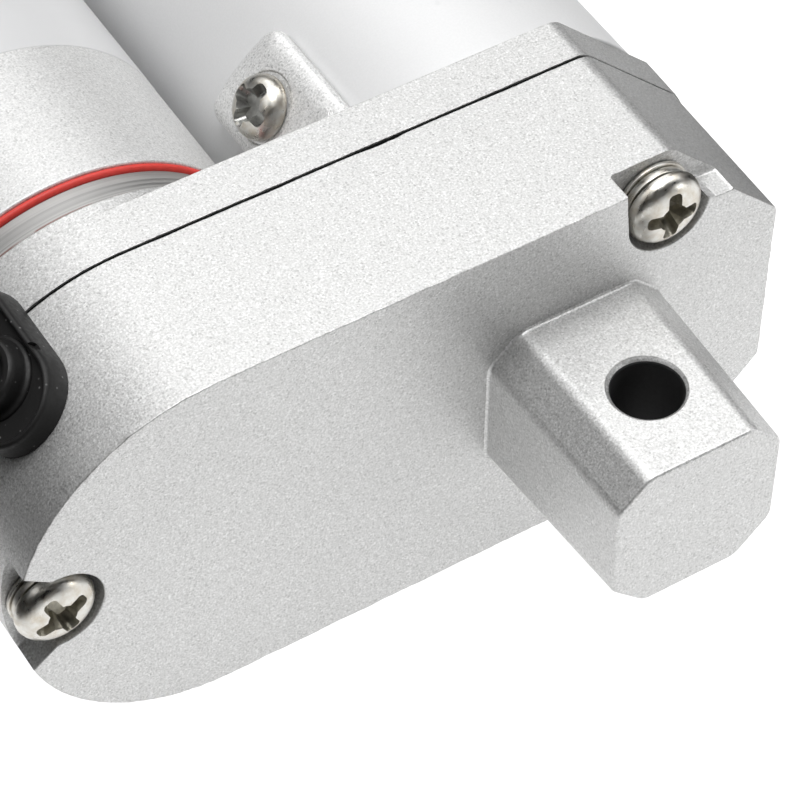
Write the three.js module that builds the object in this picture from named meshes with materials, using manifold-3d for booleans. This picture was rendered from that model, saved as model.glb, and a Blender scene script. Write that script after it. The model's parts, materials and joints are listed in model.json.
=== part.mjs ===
// Linear actuator: a motor-driven lead screw in a tube, with a side-mounted motor,
// a two-piece die-cast gear housing and a one-hole clevis at each end.
//
// Millimetres, +Z up. The origin is the centre of the rear clevis end face.
// +Y runs along the stroke towards the rod end, +X from the motor to the screw side.
import * as THREE from 'three';
import { mergeVertices } from 'three/addons/utils/BufferGeometryUtils.js';
import { ConvexGeometry } from 'three/addons/geometries/ConvexGeometry.js';
import Module from 'manifold-3d';

const wasm = await Module();
wasm.setup();

// ---------------------------------------------------------------- driving constants
const GAP = 0.3;                 // clearance between touching pieces

// axes of the drive train, all parallel to Y in the plane Z = 0
const MOTOR_X = -35.7;           // motor, armature and pinion
const IDLER_X = -16.1;           // intermediate gear
const TUBE_X = 4.4;              // lead screw, outer tube and rod

// rear clevis, one piece with the rear cover
const CLEVIS_LENGTH = 19.4;
const CLEVIS_END = [8.45, 8.5];  // half width (x), half height (z) at the end face
const CLEVIS_BASE = [9.05, 8.9]; // the same where it meets the cover
const CLEVIS_CHAMFER_TOP = 3.0;
const CLEVIS_CHAMFER_BOTTOM = 3.6;
const PIN_HOLE_R = 3.2;
const REAR_HOLE_Y = 8.46;

// gear housing
const HALF_H = 20;               // half height, and the radius of the motor end
const RIGHT_X = 21.36;           // flat side of the screw end
const CORNER = 10.2;             // chamfer of its two corners
const DRAFT = 0.0012;            // widening of the right side, mm per mm from the tube axis and per mm of length
const BULGE_R = 19.7;            // the front half's round side, about the tube axis
const COVER_Y0 = 19.4, COVER_Y1 = 35.9;
const GASKET_Y0 = 36.0, GASKET_Y1 = 36.3;
const FRONT_Y0 = 36.4, FRONT_Y1 = 41.2;
const WALL = 2.6;
const COVER_FLOOR = 24.4;        // inside of the cover's end wall
const FRONT_FLOOR = 38.7;        // inside of the front wall
const COLLAR_R = 19.9, COLLAR_Y1 = 42.65;
const SPIGOT_R = 17.0, SPIGOT_Y1 = 49.5;
const POCKET_FLOOR = 22.4;
const COVER_SCREWS = [[9.25, 15.6], [9.25, -15.6], [-51.8, 0]];

// lugs that hold the outer tube to the front housing
const LUG_R0 = 19.65, LUG_R1 = 21.55, LUG_Y1 = 57.4;
const LUG_FROM = 128, LUG_TO = 158.5, LUG_SCREW_DEG = 144, LUG_SCREW_Y = 51.6;

// outer tube and its front cap
const TUBE_R = 19.35, TUBE_BORE = 17.35;
const TUBE_Y0 = 41.5, TUBE_Y1 = 184.7;
const CAP_R = 20, CAP_Y0 = 185, CAP_Y1 = 195;
const CAP_SPIGOT_Y0 = 177.5, CAP_SPIGOT_R = 17.05;
const CAP_SCREW_Y = 181.2;

// rod
const ROD_R = 10, ROD_BORE = 7.5;
const NUT_Y0 = 56, NUT_Y1 = 76;
const ROD_Y0 = 66.3, ROD_Y1 = 199;
const ROD_END_Y0 = 199.3, ROD_END_Y1 = 223, FRONT_HOLE_Y = 213.5;
const ROD_FLAT_Z = 9;

// lead screw
const LEAD = 4, THREAD_R = 5.0, THREAD_ROOT = 4.15, JOURNAL_R = 3.9;
const SCREW_Y0 = 22.1, THREAD_Y0 = 54, THREAD_Y1 = 177, SCREW_Y1 = 179;

// gears: module, teeth, face from y0 to y1
const PRESSURE = THREE.MathUtils.degToRad(20);
const PINION = { m: 0.8, z: 12, y0: 33.8, y1: 37.8 };
const IDLER_BIG = { m: 0.8, z: 37, y0: 33.8, y1: 37.8 };
const IDLER_SMALL = { m: 1, z: 18, y0: 28.0, y1: 33.0 };
const SCREW_GEAR = { m: 1, z: 23, y0: 28.0, y1: 33.0 };

// motor
const RING_Y0 = 42.8, RING_Y1 = 46.05, RING_R = 18.9;
const MTUBE_R = 19.35, MTUBE_BORE = 17.85, MTUBE_Y0 = 46.85, MTUBE_Y1 = 148;
const CAN_R = 17.5, CAN_BORE = 16.2, CAN_Y0 = 50.6, CAN_Y1 = 131;

// cable gland on the round end, its axis square to the motor axis
const GLAND_DEG = 131, GLAND_Y = 32.9, GLAND_HALF_L = 7.75, GLAND_HALF_W = 4.93, GLAND_R = 22.3, GLAND_BORE_Y = 32.1;

// ---------------------------------------------------------------- solids
const deg = THREE.MathUtils.degToRad;

/** Position-only triangles of a closed geometry, shared vertices merged, faces outward. */
function bare(geometry) {
  const g = geometry.clone();
  for (const name of Object.keys(g.attributes)) if (name !== 'position') g.deleteAttribute(name);
  const m = mergeVertices(g, 1e-4);
  const p = m.attributes.position.array, index = m.index.array, tri = [];
  let volume = 0;
  for (let i = 0; i < index.length; i += 3) {
    const [a, b, c] = [index[i], index[i + 1], index[i + 2]];
    if (a === b || b === c || a === c) continue;
    tri.push(a, b, c);
    const [ax, ay, az] = p.slice(3 * a, 3 * a + 3), [bx, by, bz] = p.slice(3 * b, 3 * b + 3);
    const [cx, cy, cz] = p.slice(3 * c, 3 * c + 3);
    volume += ax * (by * cz - bz * cy) + ay * (bz * cx - bx * cz) + az * (bx * cy - by * cx);
  }
  if (volume < 0) for (let i = 0; i < tri.length; i += 3) [tri[i + 1], tri[i + 2]] = [tri[i + 2], tri[i + 1]];
  return { p: new Float32Array(p), tri: new Uint32Array(tri) };
}

/** A manifold solid of a closed three.js geometry. */
function solid(geometry) {
  const { p, tri } = bare(geometry);
  return new wasm.Manifold(new wasm.Mesh({ numProp: 3, vertProperties: p, triVerts: tri }));
}

/** A three.js geometry of a manifold solid. */
function geometryOf(manifold) {
  const mesh = manifold.getMesh();
  const g = new THREE.BufferGeometry();
  g.setAttribute('position', new THREE.BufferAttribute(new Float32Array(mesh.vertProperties), 3));
  g.setIndex(new THREE.BufferAttribute(new Uint32Array(mesh.triVerts), 1));
  g.computeVertexNormals();
  return g;
}

const join = (first, ...rest) => rest.reduce((a, b) => a.add(b), first);
const cut = (first, ...rest) => rest.reduce((a, b) => a.subtract(b), first);

/** Extrudes a shape drawn in (x, z) from y0 to y1. */
function alongY(shape, y0, y1, curveSegments = 12) {
  const g = new THREE.ExtrudeGeometry(shape, { depth: y1 - y0, bevelEnabled: false, curveSegments });
  return g.rotateX(Math.PI / 2).translate(0, y1, 0);
}

/** Revolves [radius, y] points about an axis parallel to Y through (x, z). */
function turned(points, x = 0, z = 0, segments = 24) {
  const g = new THREE.LatheGeometry(points.map(([r, y]) => new THREE.Vector2(r, y)), segments);
  return g.translate(x, 0, z);
}

/** A plain ring or sleeve. */
function sleeve(r0, r1, y0, y1, x, z, segments = 24) {
  return turned([[r0, y0], [r1, y0], [r1, y1], [r0, y1], [r0, y0]], x, z, segments);
}

const rodY = (r, y0, y1, x, z, segments = 24) =>
  new THREE.CylinderGeometry(r, r, y1 - y0, segments).translate(x, (y0 + y1) / 2, z);

const rodZ = (r, z0, z1, x, y, segments = 20) =>
  new THREE.CylinderGeometry(r, r, z1 - z0, segments).rotateX(Math.PI / 2).translate(x, y, (z0 + z1) / 2);

const rodX = (r, x0, x1, y, z, segments = 12) =>
  new THREE.CylinderGeometry(r, r, x1 - x0, segments).rotateZ(-Math.PI / 2).translate((x0 + x1) / 2, y, z);

const block = (x0, x1, y0, y1, z0, z1) =>
  new THREE.BoxGeometry(x1 - x0, y1 - y0, z1 - z0).translate((x0 + x1) / 2, (y0 + y1) / 2, (z0 + z1) / 2);

/** Moves a geometry made along +Y from the axis to point outwards at an angle in the XZ plane, about an axis through (x, 0). */
function radial(geometry, angle, x, y) {
  // local +Y becomes the direction (cos a, 0, sin a); local Z becomes the row's Y
  const a = deg(angle);
  const out = new THREE.Vector3(Math.cos(a), 0, Math.sin(a));
  const yy = new THREE.Vector3(0, 1, 0);
  const m = new THREE.Matrix4().makeBasis(new THREE.Vector3().crossVectors(out, yy), out, yy);
  return geometry.clone().applyMatrix4(m).translate(x, y, 0);
}

const shapeOf = (points) => new THREE.Shape(points.map(([x, y]) => new THREE.Vector2(x, y)));

/** The housing's outline in (x, z), moved inwards by inset. */
function outline(inset, bulge = false, steps = 18) {
  const r = HALF_H - inset, right = RIGHT_X - inset;
  const line = RIGHT_X + HALF_H - CORNER - inset * Math.SQRT2;
  const points = [];
  for (let i = 0; i <= steps; i++) {
    const a = Math.PI / 2 + (Math.PI * i) / steps;
    points.push([MOTOR_X + r * Math.cos(a), r * Math.sin(a)]);
  }
  points.push([line - r, -r]);
  if (bulge) {
    // the round side meets the corner's flat where the two cross
    const reach = (RIGHT_X + HALF_H - CORNER - TUBE_X) / Math.SQRT2;
    const n = 8, rb = BULGE_R - inset, half = Math.PI / 4 - Math.acos(reach / BULGE_R);
    for (let i = 0; i <= n; i++) {
      const a = -half + (2 * half * i) / n;
      points.push([TUBE_X + rb * Math.cos(a), rb * Math.sin(a)]);
    }
  } else points.push([right, -(line - right)], [right, line - right]);
  points.push([line - r, r]);
  return shapeOf(points);
}

/** A screw pocket's outline, open to the side. */
function pocket(k) {
  const [cx, cz] = COVER_SCREWS[k];
  const points = [];
  if (k === 2) {
    const r = 4.35, from = deg(-112), to = deg(112), n = 16;
    for (let i = 0; i <= n; i++) {
      const a = from + ((to - from) * i) / n;
      points.push([cx + r * Math.cos(a), cz + r * Math.sin(a)]);
    }
    points.push([-54.6, 6.1], [-58, 9], [-58, -9], [-54.6, -6.1]);
    return shapeOf(points);
  }
  const s = Math.sign(cz), r = 4.2, n = 12;
  for (let i = 0; i <= n; i++) {
    const a = deg(180 + (155 * i) / n);
    points.push([cx + r * Math.cos(a), s * (Math.abs(cz) + r * Math.sin(a))]);
  }
  points.push([14.2, s * 15.06], [16.3, s * 14.95], [18.5, s * 17], [13, s * 22], [4.5, s * 22], [4.8, s * 18]);
  return shapeOf(points);
}

// ---------------------------------------------------------------- gears
/** Involute profile: flank points per side, teeth centred on phase. */
function gearPoints({ m, z }, radii, tip, phase, thinning = 0.1) {
  const r = (m * z) / 2, base = r * Math.cos(PRESSURE);
  const inv = (a) => Math.tan(a) - a;
  const half = (rho) => Math.PI / (2 * z) - thinning / (2 * r) + inv(PRESSURE)
    - (rho > base ? inv(Math.acos(base / rho)) : 0);
  const points = [];
  const all = [...radii, tip];
  for (let k = 0; k < z; k++) {
    const c = phase + (2 * Math.PI * k) / z;
    for (const rho of all) points.push([rho * Math.cos(c - half(rho)), rho * Math.sin(c - half(rho))]);
    for (const rho of [...all].reverse()) points.push([rho * Math.cos(c + half(rho)), rho * Math.sin(c + half(rho))]);
  }
  return points;
}

function gearGeometry(gear, radii, tip, phase, boreR, x, y0, y1, boreSegments = 16) {
  const shape = shapeOf(gearPoints(gear, radii, tip, phase));
  if (boreR) shape.holes.push(new THREE.Path().absarc(0, 0, boreR, 0, 2 * Math.PI, true));
  return alongY(shape, y0, y1, boreSegments).translate(x, 0, 0);
}

/** A right-hand thread about Y as one closed mesh: root and crest rows along the helix. */
function threadGeometry(root, crest, y0, turns, lead, segments) {
  const rows = 2 * turns + 1, positions = [], index = [];
  const at = (i, j) => (j === segments ? at(i + 2, 0) : i * segments + j);
  const total = rows + 2;
  for (let i = 0; i < total; i++) for (let j = 0; j < segments; j++) {
    const a = (2 * Math.PI * j) / segments, r = i % 2 ? crest : root;
    positions.push(r * Math.sin(a), y0 + lead * (i / 2 + j / segments), r * Math.cos(a));
  }
  const first = positions.length / 3;
  positions.push(0, y0 + 0.2, 0, 0, y0 + lead * ((rows - 1) / 2 + 1) - 0.2, 0);
  for (let i = 0; i < rows - 1; i++) for (let j = 0; j < segments; j++) {
    const [a, b, c, d] = [at(i, j), at(i, j + 1), at(i + 1, j + 1), at(i + 1, j)];
    index.push(a, b, c, a, c, d);
  }
  for (let j = 0; j < segments; j++) index.push(first, at(0, j + 1), at(0, j));
  index.push(first, at(1, 0), at(2, 0), first, at(0, 0), at(1, 0));
  const last = rows - 1;
  for (let j = 0; j < segments; j++) index.push(first + 1, at(last, j), at(last, j + 1));
  index.push(first + 1, at(last + 2, 0), at(last + 1, 0), first + 1, at(last + 1, 0), at(last, 0));
  const g = new THREE.BufferGeometry();
  g.setAttribute('position', new THREE.Float32BufferAttribute(positions, 3));
  g.setIndex(index);
  return g;
}

// ---------------------------------------------------------------- fasteners
/** Pan-head cross-recess screw along +Y: its head ends at y = 0, the shank runs to +Y. */
function panScrew(headR, headH, shankR, length, crossW, segments = 12) {
  const profile = [[0, -headH], [headR * 0.55, -headH * 0.93], [headR * 0.9, -headH * 0.55], [headR, -headH * 0.12],
    [headR * 0.96, 0], [shankR, 0], [shankR, length - 0.4], [shankR - 0.4, length], [0, length]];
  const body = solid(turned(profile, 0, 0, segments));
  const reach = headR * 0.56, depth = headH * 0.62;
  return cut(body,
    solid(block(-reach, reach, -headH - 1, -headH + depth, -crossW / 2, crossW / 2)),
    solid(block(-crossW / 2, crossW / 2, -headH - 1, -headH + depth, -reach, reach)));
}

// ---------------------------------------------------------------- materials
const paint = (name, color, roughness, metalness) =>
  Object.assign(new THREE.MeshStandardMaterial({ color, roughness, metalness }), { name });
const castPaint = () => paint('cast_silver', 0xc9cac9, 0.55, 0.55);
const satinPaint = () => paint('satin_silver', 0xdcdddd, 0.42, 0.5);
const turnedSteel = () => paint('turned_steel', 0xb9b8b5, 0.32, 0.95);
const brightSteel = () => paint('bright_screw', 0xd8d6d0, 0.22, 1.0);
const groundSteel = () => paint('bearing_steel', 0xc2c4c6, 0.25, 1.0);
const blackRubber = () => paint('black_rubber', 0x161616, 0.55, 0.0);
const redRubber = () => paint('red_rubber', 0xd23a34, 0.45, 0.0);
const steel = () => paint('gear_steel', 0x9a9b9c, 0.38, 0.9);
const nylon = () => paint('gear_nylon', 0xe7e2d2, 0.5, 0.0);
const bronze = () => paint('bronze', 0xb98a48, 0.4, 0.9);
const copper = () => paint('copper', 0xb8693c, 0.35, 0.9);
const carbon = () => paint('carbon', 0x2a2a2c, 0.7, 0.1);
const ferrite = () => paint('ferrite', 0x3a3a3d, 0.8, 0.1);
const blackPlastic = () => paint('black_plastic', 0x1c1c1e, 0.5, 0.0);
const boardGreen = () => paint('board_green', 0x1f5a34, 0.5, 0.0);

const group = new THREE.Group();
function add(name, shape, material) {
  const geometry = shape.isBufferGeometry ? geometryOf(solid(shape)) : geometryOf(shape);
  const mesh = new THREE.Mesh(geometry, material);
  mesh.name = name;
  group.add(mesh);
  return mesh;
}

// ---------------------------------------------------------------- rear cover with the clevis
function clevisBlock() {
  const ring = ([hx, hz], top, bottom, y) => [
    [hx - top, hz], [hx, hz - top], [hx, -hz + bottom], [hx - bottom, -hz],
    [-hx + bottom, -hz], [-hx, -hz + bottom], [-hx, hz - top], [-hx + top, hz],
  ].map(([x, z]) => new THREE.Vector3(x, y, z));
  return new ConvexGeometry([
    ...ring(CLEVIS_END, CLEVIS_CHAMFER_TOP, CLEVIS_CHAMFER_BOTTOM, 0),
    ...ring(CLEVIS_BASE, 3.1, 3.1, CLEVIS_LENGTH + 0.5)]);
}

/** Draft: the casting widens on its right side, from the rear face to the flange. */
function drafted(geometry) {
  const p = geometry.attributes.position;
  for (let i = 0; i < p.count; i++) {
    const x = p.getX(i), y = p.getY(i);
    if (x > TUBE_X) p.setX(i, x + (x - TUBE_X) * DRAFT * (y - COVER_Y0));
  }
  return geometry;
}

const bossRadius = [3.3, 3.3, 3.6];
const bosses = (y0, y1) => COVER_SCREWS.map(([x, z], i) => solid(rodY(bossRadius[i], y0, y1, x, z, 16)));
const screwHoles = (y0, y1) => COVER_SCREWS.map(([x, z]) => solid(rodY(2.3, y0, y1, x, z, 12)));
const glandHole = (r, d0, d1, r1 = r) => solid(radial(
  new THREE.CylinderGeometry(r1, r, d1 - d0, 16).translate(0, (d0 + d1) / 2, 0), GLAND_DEG, MOTOR_X, GLAND_BORE_Y));

{
  const cavity = cut(solid(drafted(alongY(outline(WALL), COVER_FLOOR, COVER_Y1 + 1))),
    ...bosses(COVER_FLOOR - 1, COVER_Y1 + 2),
    solid(sleeve(9.65, 11.6, COVER_FLOOR - 1, 26.9, TUBE_X, 0, 24)));
  let cover = join(solid(drafted(alongY(outline(0), COVER_Y0, COVER_Y1))), solid(clevisBlock()));
  cover = cut(cover, cavity,
    solid(rodY(9.65, 21.9, COVER_FLOOR + 3, TUBE_X, 0, 24)),
    solid(rodY(2.7, 22.0, COVER_FLOOR + 1, IDLER_X, 0, 12)),
    solid(alongY(pocket(0), 18, POCKET_FLOOR)),
    solid(alongY(pocket(1), 18, POCKET_FLOOR)),
    solid(alongY(pocket(2), 18, POCKET_FLOOR)),
    ...screwHoles(21, COVER_Y1 + 1),
    solid(rodZ(PIN_HOLE_R, -12, 12, 0, REAR_HOLE_Y)),
    glandHole(3.25, 12, 25));
  add('rear_cover', cover, castPaint());
}

// ---------------------------------------------------------------- front housing
function sector(r0, r1, from, to, steps) {
  const points = [];
  for (let i = 0; i <= steps; i++) {
    const a = deg(from + ((to - from) * i) / steps);
    points.push([TUBE_X + r1 * Math.cos(a), r1 * Math.sin(a)]);
  }
  for (let i = steps; i >= 0; i--) {
    const a = deg(from + ((to - from) * i) / steps);
    points.push([TUBE_X + r0 * Math.cos(a), r0 * Math.sin(a)]);
  }
  return shapeOf(points);
}
const lugHole = (r, angle, d0, d1) => solid(radial(
  new THREE.CylinderGeometry(r, r, d1 - d0, 12).translate(0, (d0 + d1) / 2, 0), angle, TUBE_X, LUG_SCREW_Y));

{
  const recess = cut(solid(drafted(alongY(outline(WALL), FRONT_Y0 - 1, FRONT_FLOOR))), ...bosses(FRONT_Y0 - 2, FRONT_FLOOR + 1));
  // two tongues reach along the tube, one above and one below, each rounded at its free end
  const lug = (sign) => solid(alongY(sector(LUG_R0, LUG_R1, sign * LUG_FROM, sign * LUG_TO, 4), FRONT_Y1 - 0.4, LUG_Y1));
  const corner = (sign, angle) => solid(radial(
    block(-1.7, 1.7, 15, 26, -1.7, 1.7).rotateY(Math.PI / 4), sign * angle, TUBE_X, LUG_Y1 + 0.9));
  let front = join(solid(drafted(alongY(outline(0, true), FRONT_Y0, FRONT_Y1))),
    solid(rodY(COLLAR_R, FRONT_Y1 - 0.5, COLLAR_Y1, MOTOR_X, 0, 32)),
    solid(rodY(SPIGOT_R, FRONT_Y1 - 0.5, SPIGOT_Y1, TUBE_X, 0, 28)),
    lug(1), lug(-1));
  front = cut(front, recess,
    corner(1, LUG_FROM), corner(1, LUG_TO), corner(-1, LUG_FROM), corner(-1, LUG_TO),
    solid(rodY(16.4, FRONT_Y1 - 1.2, COLLAR_Y1 + 1, MOTOR_X, 0, 24)),
    solid(rodY(6.6, FRONT_Y0, COLLAR_Y1 + 1, MOTOR_X, 0, 16)),
    solid(rodY(5.2, FRONT_Y0, SPIGOT_Y1 + 1, TUBE_X, 0, 16)),
    solid(rodY(11.3, 41.9, SPIGOT_Y1 + 1, TUBE_X, 0, 24)),
    solid(rodY(2.7, FRONT_Y0, 40.3, IDLER_X, 0, 12)),
    ...screwHoles(FRONT_Y0 - 1, 40.4));
  // screws through the lugs; a blind tapped hole ends in the flange's spigot below them
  front = cut(front, lugHole(1.75, LUG_SCREW_DEG, 18, 24), lugHole(1.75, -LUG_SCREW_DEG, 18, 24));
  add('front_housing', front, castPaint());
}

// ---------------------------------------------------------------- gasket
{
  const shape = outline(0.12);
  const ring = cut(solid(drafted(alongY(shape, GASKET_Y0, GASKET_Y1))), solid(drafted(alongY(outline(WALL - 0.2), GASKET_Y0 - 1, GASKET_Y1 + 1))),
    ...screwHoles(GASKET_Y0 - 1, GASKET_Y1 + 1));
  const parts = ring.decompose();
  parts.sort((a, b) => b.volume() - a.volume());
  add('housing_gasket', parts[0], blackRubber());
}

// ---------------------------------------------------------------- screws and washers
COVER_SCREWS.forEach(([x, z], i) => {
  const screw = panScrew(3.75, 2.1, 1.95, 19.1, 1.15);
  add(`cover_screw_${i + 1}`, geometryOf(screw).rotateY(deg([45, 20, 62][i])).translate(x, 20.8, z), brightSteel());
  // split spring washer: a ring with a narrow slot
  const ring = cut(solid(sleeve(2.2, 3.5, 20.95, 22.3, 0, 0, 12)),
    solid(block(1.5, 4, 20, 23, -0.3, 0.3)));
  add(`lock_washer_${i + 1}`, geometryOf(ring).rotateY(deg([100, 215, 330][i])).translate(x, 0, z), brightSteel());
});
[1, -1].forEach((sign, i) => {
  // the head sits on the lug; the shank passes the lug and the tube wall
  const screw = panScrew(3.1, 2.15, 1.45, 5.2, 0.95);
  const g = geometryOf(screw).rotateX(Math.PI).rotateY(deg(18 + 30 * i)).translate(0, LUG_R1 + 0.25, 0);
  add(`tube_screw_${i + 1}`, radial(g, sign * LUG_SCREW_DEG, TUBE_X, LUG_SCREW_Y), brightSteel());
});

// ---------------------------------------------------------------- cable gland
{
  // an oval flange that hugs the round end, a raised ring round a blind cable bore, and a neck through the wall
  const oval = (l, w, n = 8) => {
    const points = [];
    for (let i = 0; i <= n; i++) { const a = -Math.PI / 2 + (Math.PI * i) / n; points.push([l - w + w * Math.cos(a), w * Math.sin(a)]); }
    for (let i = 0; i <= n; i++) { const a = Math.PI / 2 + (Math.PI * i) / n; points.push([-(l - w) + w * Math.cos(a), w * Math.sin(a)]); }
    return shapeOf(points);
  };
  const plate = (l, w, d0, d1) => {
    // drawn with its long axis along the row's Y, extruded outwards
    const g = new THREE.ExtrudeGeometry(oval(l, w), { depth: d1 - d0, bevelEnabled: false });
    return g.rotateZ(Math.PI / 2).rotateX(-Math.PI / 2).rotateY(0).translate(0, d0, 0);
  };
  let flange = solid(radial(plate(GLAND_HALF_L, GLAND_HALF_W, 15, GLAND_R - 0.35), GLAND_DEG, MOTOR_X, GLAND_Y));
  flange = join(flange, solid(radial(plate(GLAND_HALF_L - 0.35, GLAND_HALF_W - 0.35, 16, GLAND_R), GLAND_DEG, MOTOR_X, GLAND_Y)));
  flange = cut(flange, solid(rodY(HALF_H + GAP, 10, 60, MOTOR_X, 0, 48)));
  const recess = solid(radial(plate(GLAND_HALF_L - 0.9, GLAND_HALF_W - 0.85, GLAND_R - 0.8, GLAND_R + 1), GLAND_DEG, MOTOR_X, GLAND_Y));
  let gland = join(cut(flange, recess), glandHole(2.9, 16.2, 21), glandHole(3.8, 20.6, 21.8), glandHole(3.8, 21.75, 23.5, 3.1));
  gland = cut(gland, glandHole(2.1, 18.2, 26));
  add('cable_gland', gland, blackRubber());
}

// ---------------------------------------------------------------- outer tube and front cap
{
  const tubeHole = (angle, y) => solid(radial(
    new THREE.CylinderGeometry(1.75, 1.75, 6, 8).translate(0, 18.4, 0), angle, TUBE_X, y));
  const tube = cut(solid(sleeve(TUBE_BORE, TUBE_R, TUBE_Y0, TUBE_Y1, TUBE_X, 0, 32)),
    tubeHole(LUG_SCREW_DEG, LUG_SCREW_Y), tubeHole(-LUG_SCREW_DEG, LUG_SCREW_Y),
    tubeHole(90, CAP_SCREW_Y), tubeHole(210, CAP_SCREW_Y), tubeHole(330, CAP_SCREW_Y));
  add('outer_tube', tube, satinPaint());

  const capHole = (angle) => solid(radial(
    new THREE.CylinderGeometry(1.5, 1.5, 6, 8).translate(0, 17.6, 0), angle, TUBE_X, CAP_SCREW_Y));
  const cap = cut(solid(turned([[11.6, CAP_SPIGOT_Y0], [CAP_SPIGOT_R, CAP_SPIGOT_Y0], [CAP_SPIGOT_R, CAP_Y0], [CAP_R, CAP_Y0],
    [CAP_R, CAP_Y1 - 1.2], [CAP_R - 1.2, CAP_Y1], [12.8, CAP_Y1], [12.8, 191], [11.6, 191], [11.6, CAP_SPIGOT_Y0]], TUBE_X, 0, 32)),
    capHole(90), capHole(210), capHole(330));
  add('front_cap', cap, castPaint());
  [90, 210, 330].forEach((angle, i) => {
    const g = turned([[0, 15.2], [1.2, 15.2], [1.2, 18.6], [1.55, 18.9], [1.55, 19.6], [0, 19.6]], 0, 0, 10);
    const socket = cut(solid(g), solid(new THREE.CylinderGeometry(0.75, 0.75, 2, 6).translate(0, 19.6, 0)));
    add(`cap_screw_${i + 1}`, radial(geometryOf(socket), angle, TUBE_X, CAP_SCREW_Y), brightSteel());
  });
  add('rod_guide_bush', sleeve(10.25, 11.3, 177.8, 190.7, TUBE_X, 0, 24), blackPlastic());
  add('rod_wiper_seal', turned([[10.7, 191.3], [12.5, 191.3], [12.5, 194.6], [10.9, 194.6], [10.25, 193.8], [10.7, 192.6], [10.7, 191.3]], TUBE_X, 0, 24), blackRubber());
}

// ---------------------------------------------------------------- rod, nut and rod end
{
  const crossHole = solid(rodX(1.75, TUBE_X - 14, TUBE_X + 14, 196.9, 0));
  add('rod_tube', cut(solid(sleeve(ROD_BORE, ROD_R, ROD_Y0, ROD_Y1, TUBE_X, 0, 24)), crossHole), satinPaint());
  let end = solid(turned([[0, 187.5], [6.6, 187.5], [7.2, 188.1], [7.2, ROD_END_Y0], [ROD_R, ROD_END_Y0], [ROD_R, ROD_END_Y1 - 1], [ROD_R - 1, ROD_END_Y1], [0, ROD_END_Y1]], TUBE_X, 0, 24));
  end = cut(end, crossHole,
    solid(block(TUBE_X - 12, TUBE_X + 12, 203.5, 226, ROD_FLAT_Z, 12)),
    solid(block(TUBE_X - 12, TUBE_X + 12, 203.5, 226, -12, -ROD_FLAT_Z)),
    solid(rodZ(PIN_HOLE_R, -13, 13, TUBE_X, FRONT_HOLE_Y)));
  add('rod_end', end, turnedSteel());
  add('rod_end_pin', rodX(1.4, TUBE_X - 9.5, TUBE_X + 9.5, 196.9, 0, 10), groundSteel());

  // the nut has a flat that runs under the switch rail, which keeps it from turning
  const r = 16.9, flat = 10.85, half = Math.asin(flat / r), n = 26, points = [];
  for (let i = 0; i <= n; i++) {
    const a = Math.PI - half + ((Math.PI + 2 * half) * i) / n;
    points.push([r * Math.cos(a), r * Math.sin(a)]);
  }
  const nut = cut(solid(alongY(shapeOf(points), NUT_Y0, NUT_Y1).translate(TUBE_X, 0, 0)),
    solid(rodY(THREAD_R + 0.35, NUT_Y0 - 1, NUT_Y1 + 1, TUBE_X, 0, 16)),
    solid(rodY(ROD_R + 0.3, ROD_Y0 - 0.3, NUT_Y1 + 1, TUBE_X, 0, 24)));
  add('drive_nut', nut, bronze());
}

// ---------------------------------------------------------------- lead screw
{
  const turns = Math.round((THREAD_Y1 - THREAD_Y0) / LEAD) - 1;
  const thread = solid(threadGeometry(THREAD_ROOT, THREAD_R, THREAD_Y0, turns, LEAD, 8).translate(TUBE_X, 0, 0));
  const core = solid(turned([[0, SCREW_Y0], [JOURNAL_R - 0.4, SCREW_Y0], [JOURNAL_R, SCREW_Y0 + 0.4], [JOURNAL_R, 49.8],
    [6, 49.8], [6, 52.6], [3.4, 53.2], [3.4, SCREW_Y1 - 0.6], [2.8, SCREW_Y1], [0, SCREW_Y1]], TUBE_X, 0, 12));
  add('lead_screw', join(core, thread), steel());
  add('screw_gear', gearGeometry(SCREW_GEAR, [10.25], 12.5, Math.PI + Math.PI / 23, 4.25, TUBE_X, SCREW_GEAR.y0, SCREW_GEAR.y1, 8), steel());
  add('screw_spacer', sleeve(4.25, 4.95, 38.3, 41.9, TUBE_X, 0, 14), groundSteel());
  add('rear_bearing', sleeve(4.2, 9.4, 22.2, 27.2, TUBE_X, 0, 20), groundSteel());
  add('front_bearing', sleeve(4.2, 11.0, 42.2, 49.2, TUBE_X, 0, 20), groundSteel());
}

// ---------------------------------------------------------------- intermediate gear
{
  const big = solid(gearGeometry(IDLER_BIG, [13.75], 15.4, Math.PI + Math.PI / 37, 0, IDLER_X, IDLER_BIG.y0, IDLER_BIG.y1));
  const small = solid(gearGeometry(IDLER_SMALL, [7.75, 9.0], 10.0, 0, 0, IDLER_X, IDLER_SMALL.y0, IDLER_SMALL.y1));
  const hub = solid(rodY(6.5, 27.7, 38.1, IDLER_X, 0, 14));
  add('intermediate_gear', cut(join(big, small, hub), solid(rodY(2.65, 25, 40, IDLER_X, 0, 12))), nylon());
  add('gear_axle', rodY(2.4, 22.3, 40.0, IDLER_X, 0, 12), groundSteel());
}

// ---------------------------------------------------------------- switch rail inside the tube
add('switch_rail', block(TUBE_X - 6, TUBE_X + 6, 55, 176.5, 14.9, 15.9), boardGreen());
add('limit_switch_retracted', block(TUBE_X - 3.2, TUBE_X + 3.2, 55.5, 68.3, 11.2, 14.6), blackPlastic());
add('limit_switch_extended', block(TUBE_X - 3.2, TUBE_X + 3.2, 163.2, 176, 11.2, 14.6), blackPlastic());

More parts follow.
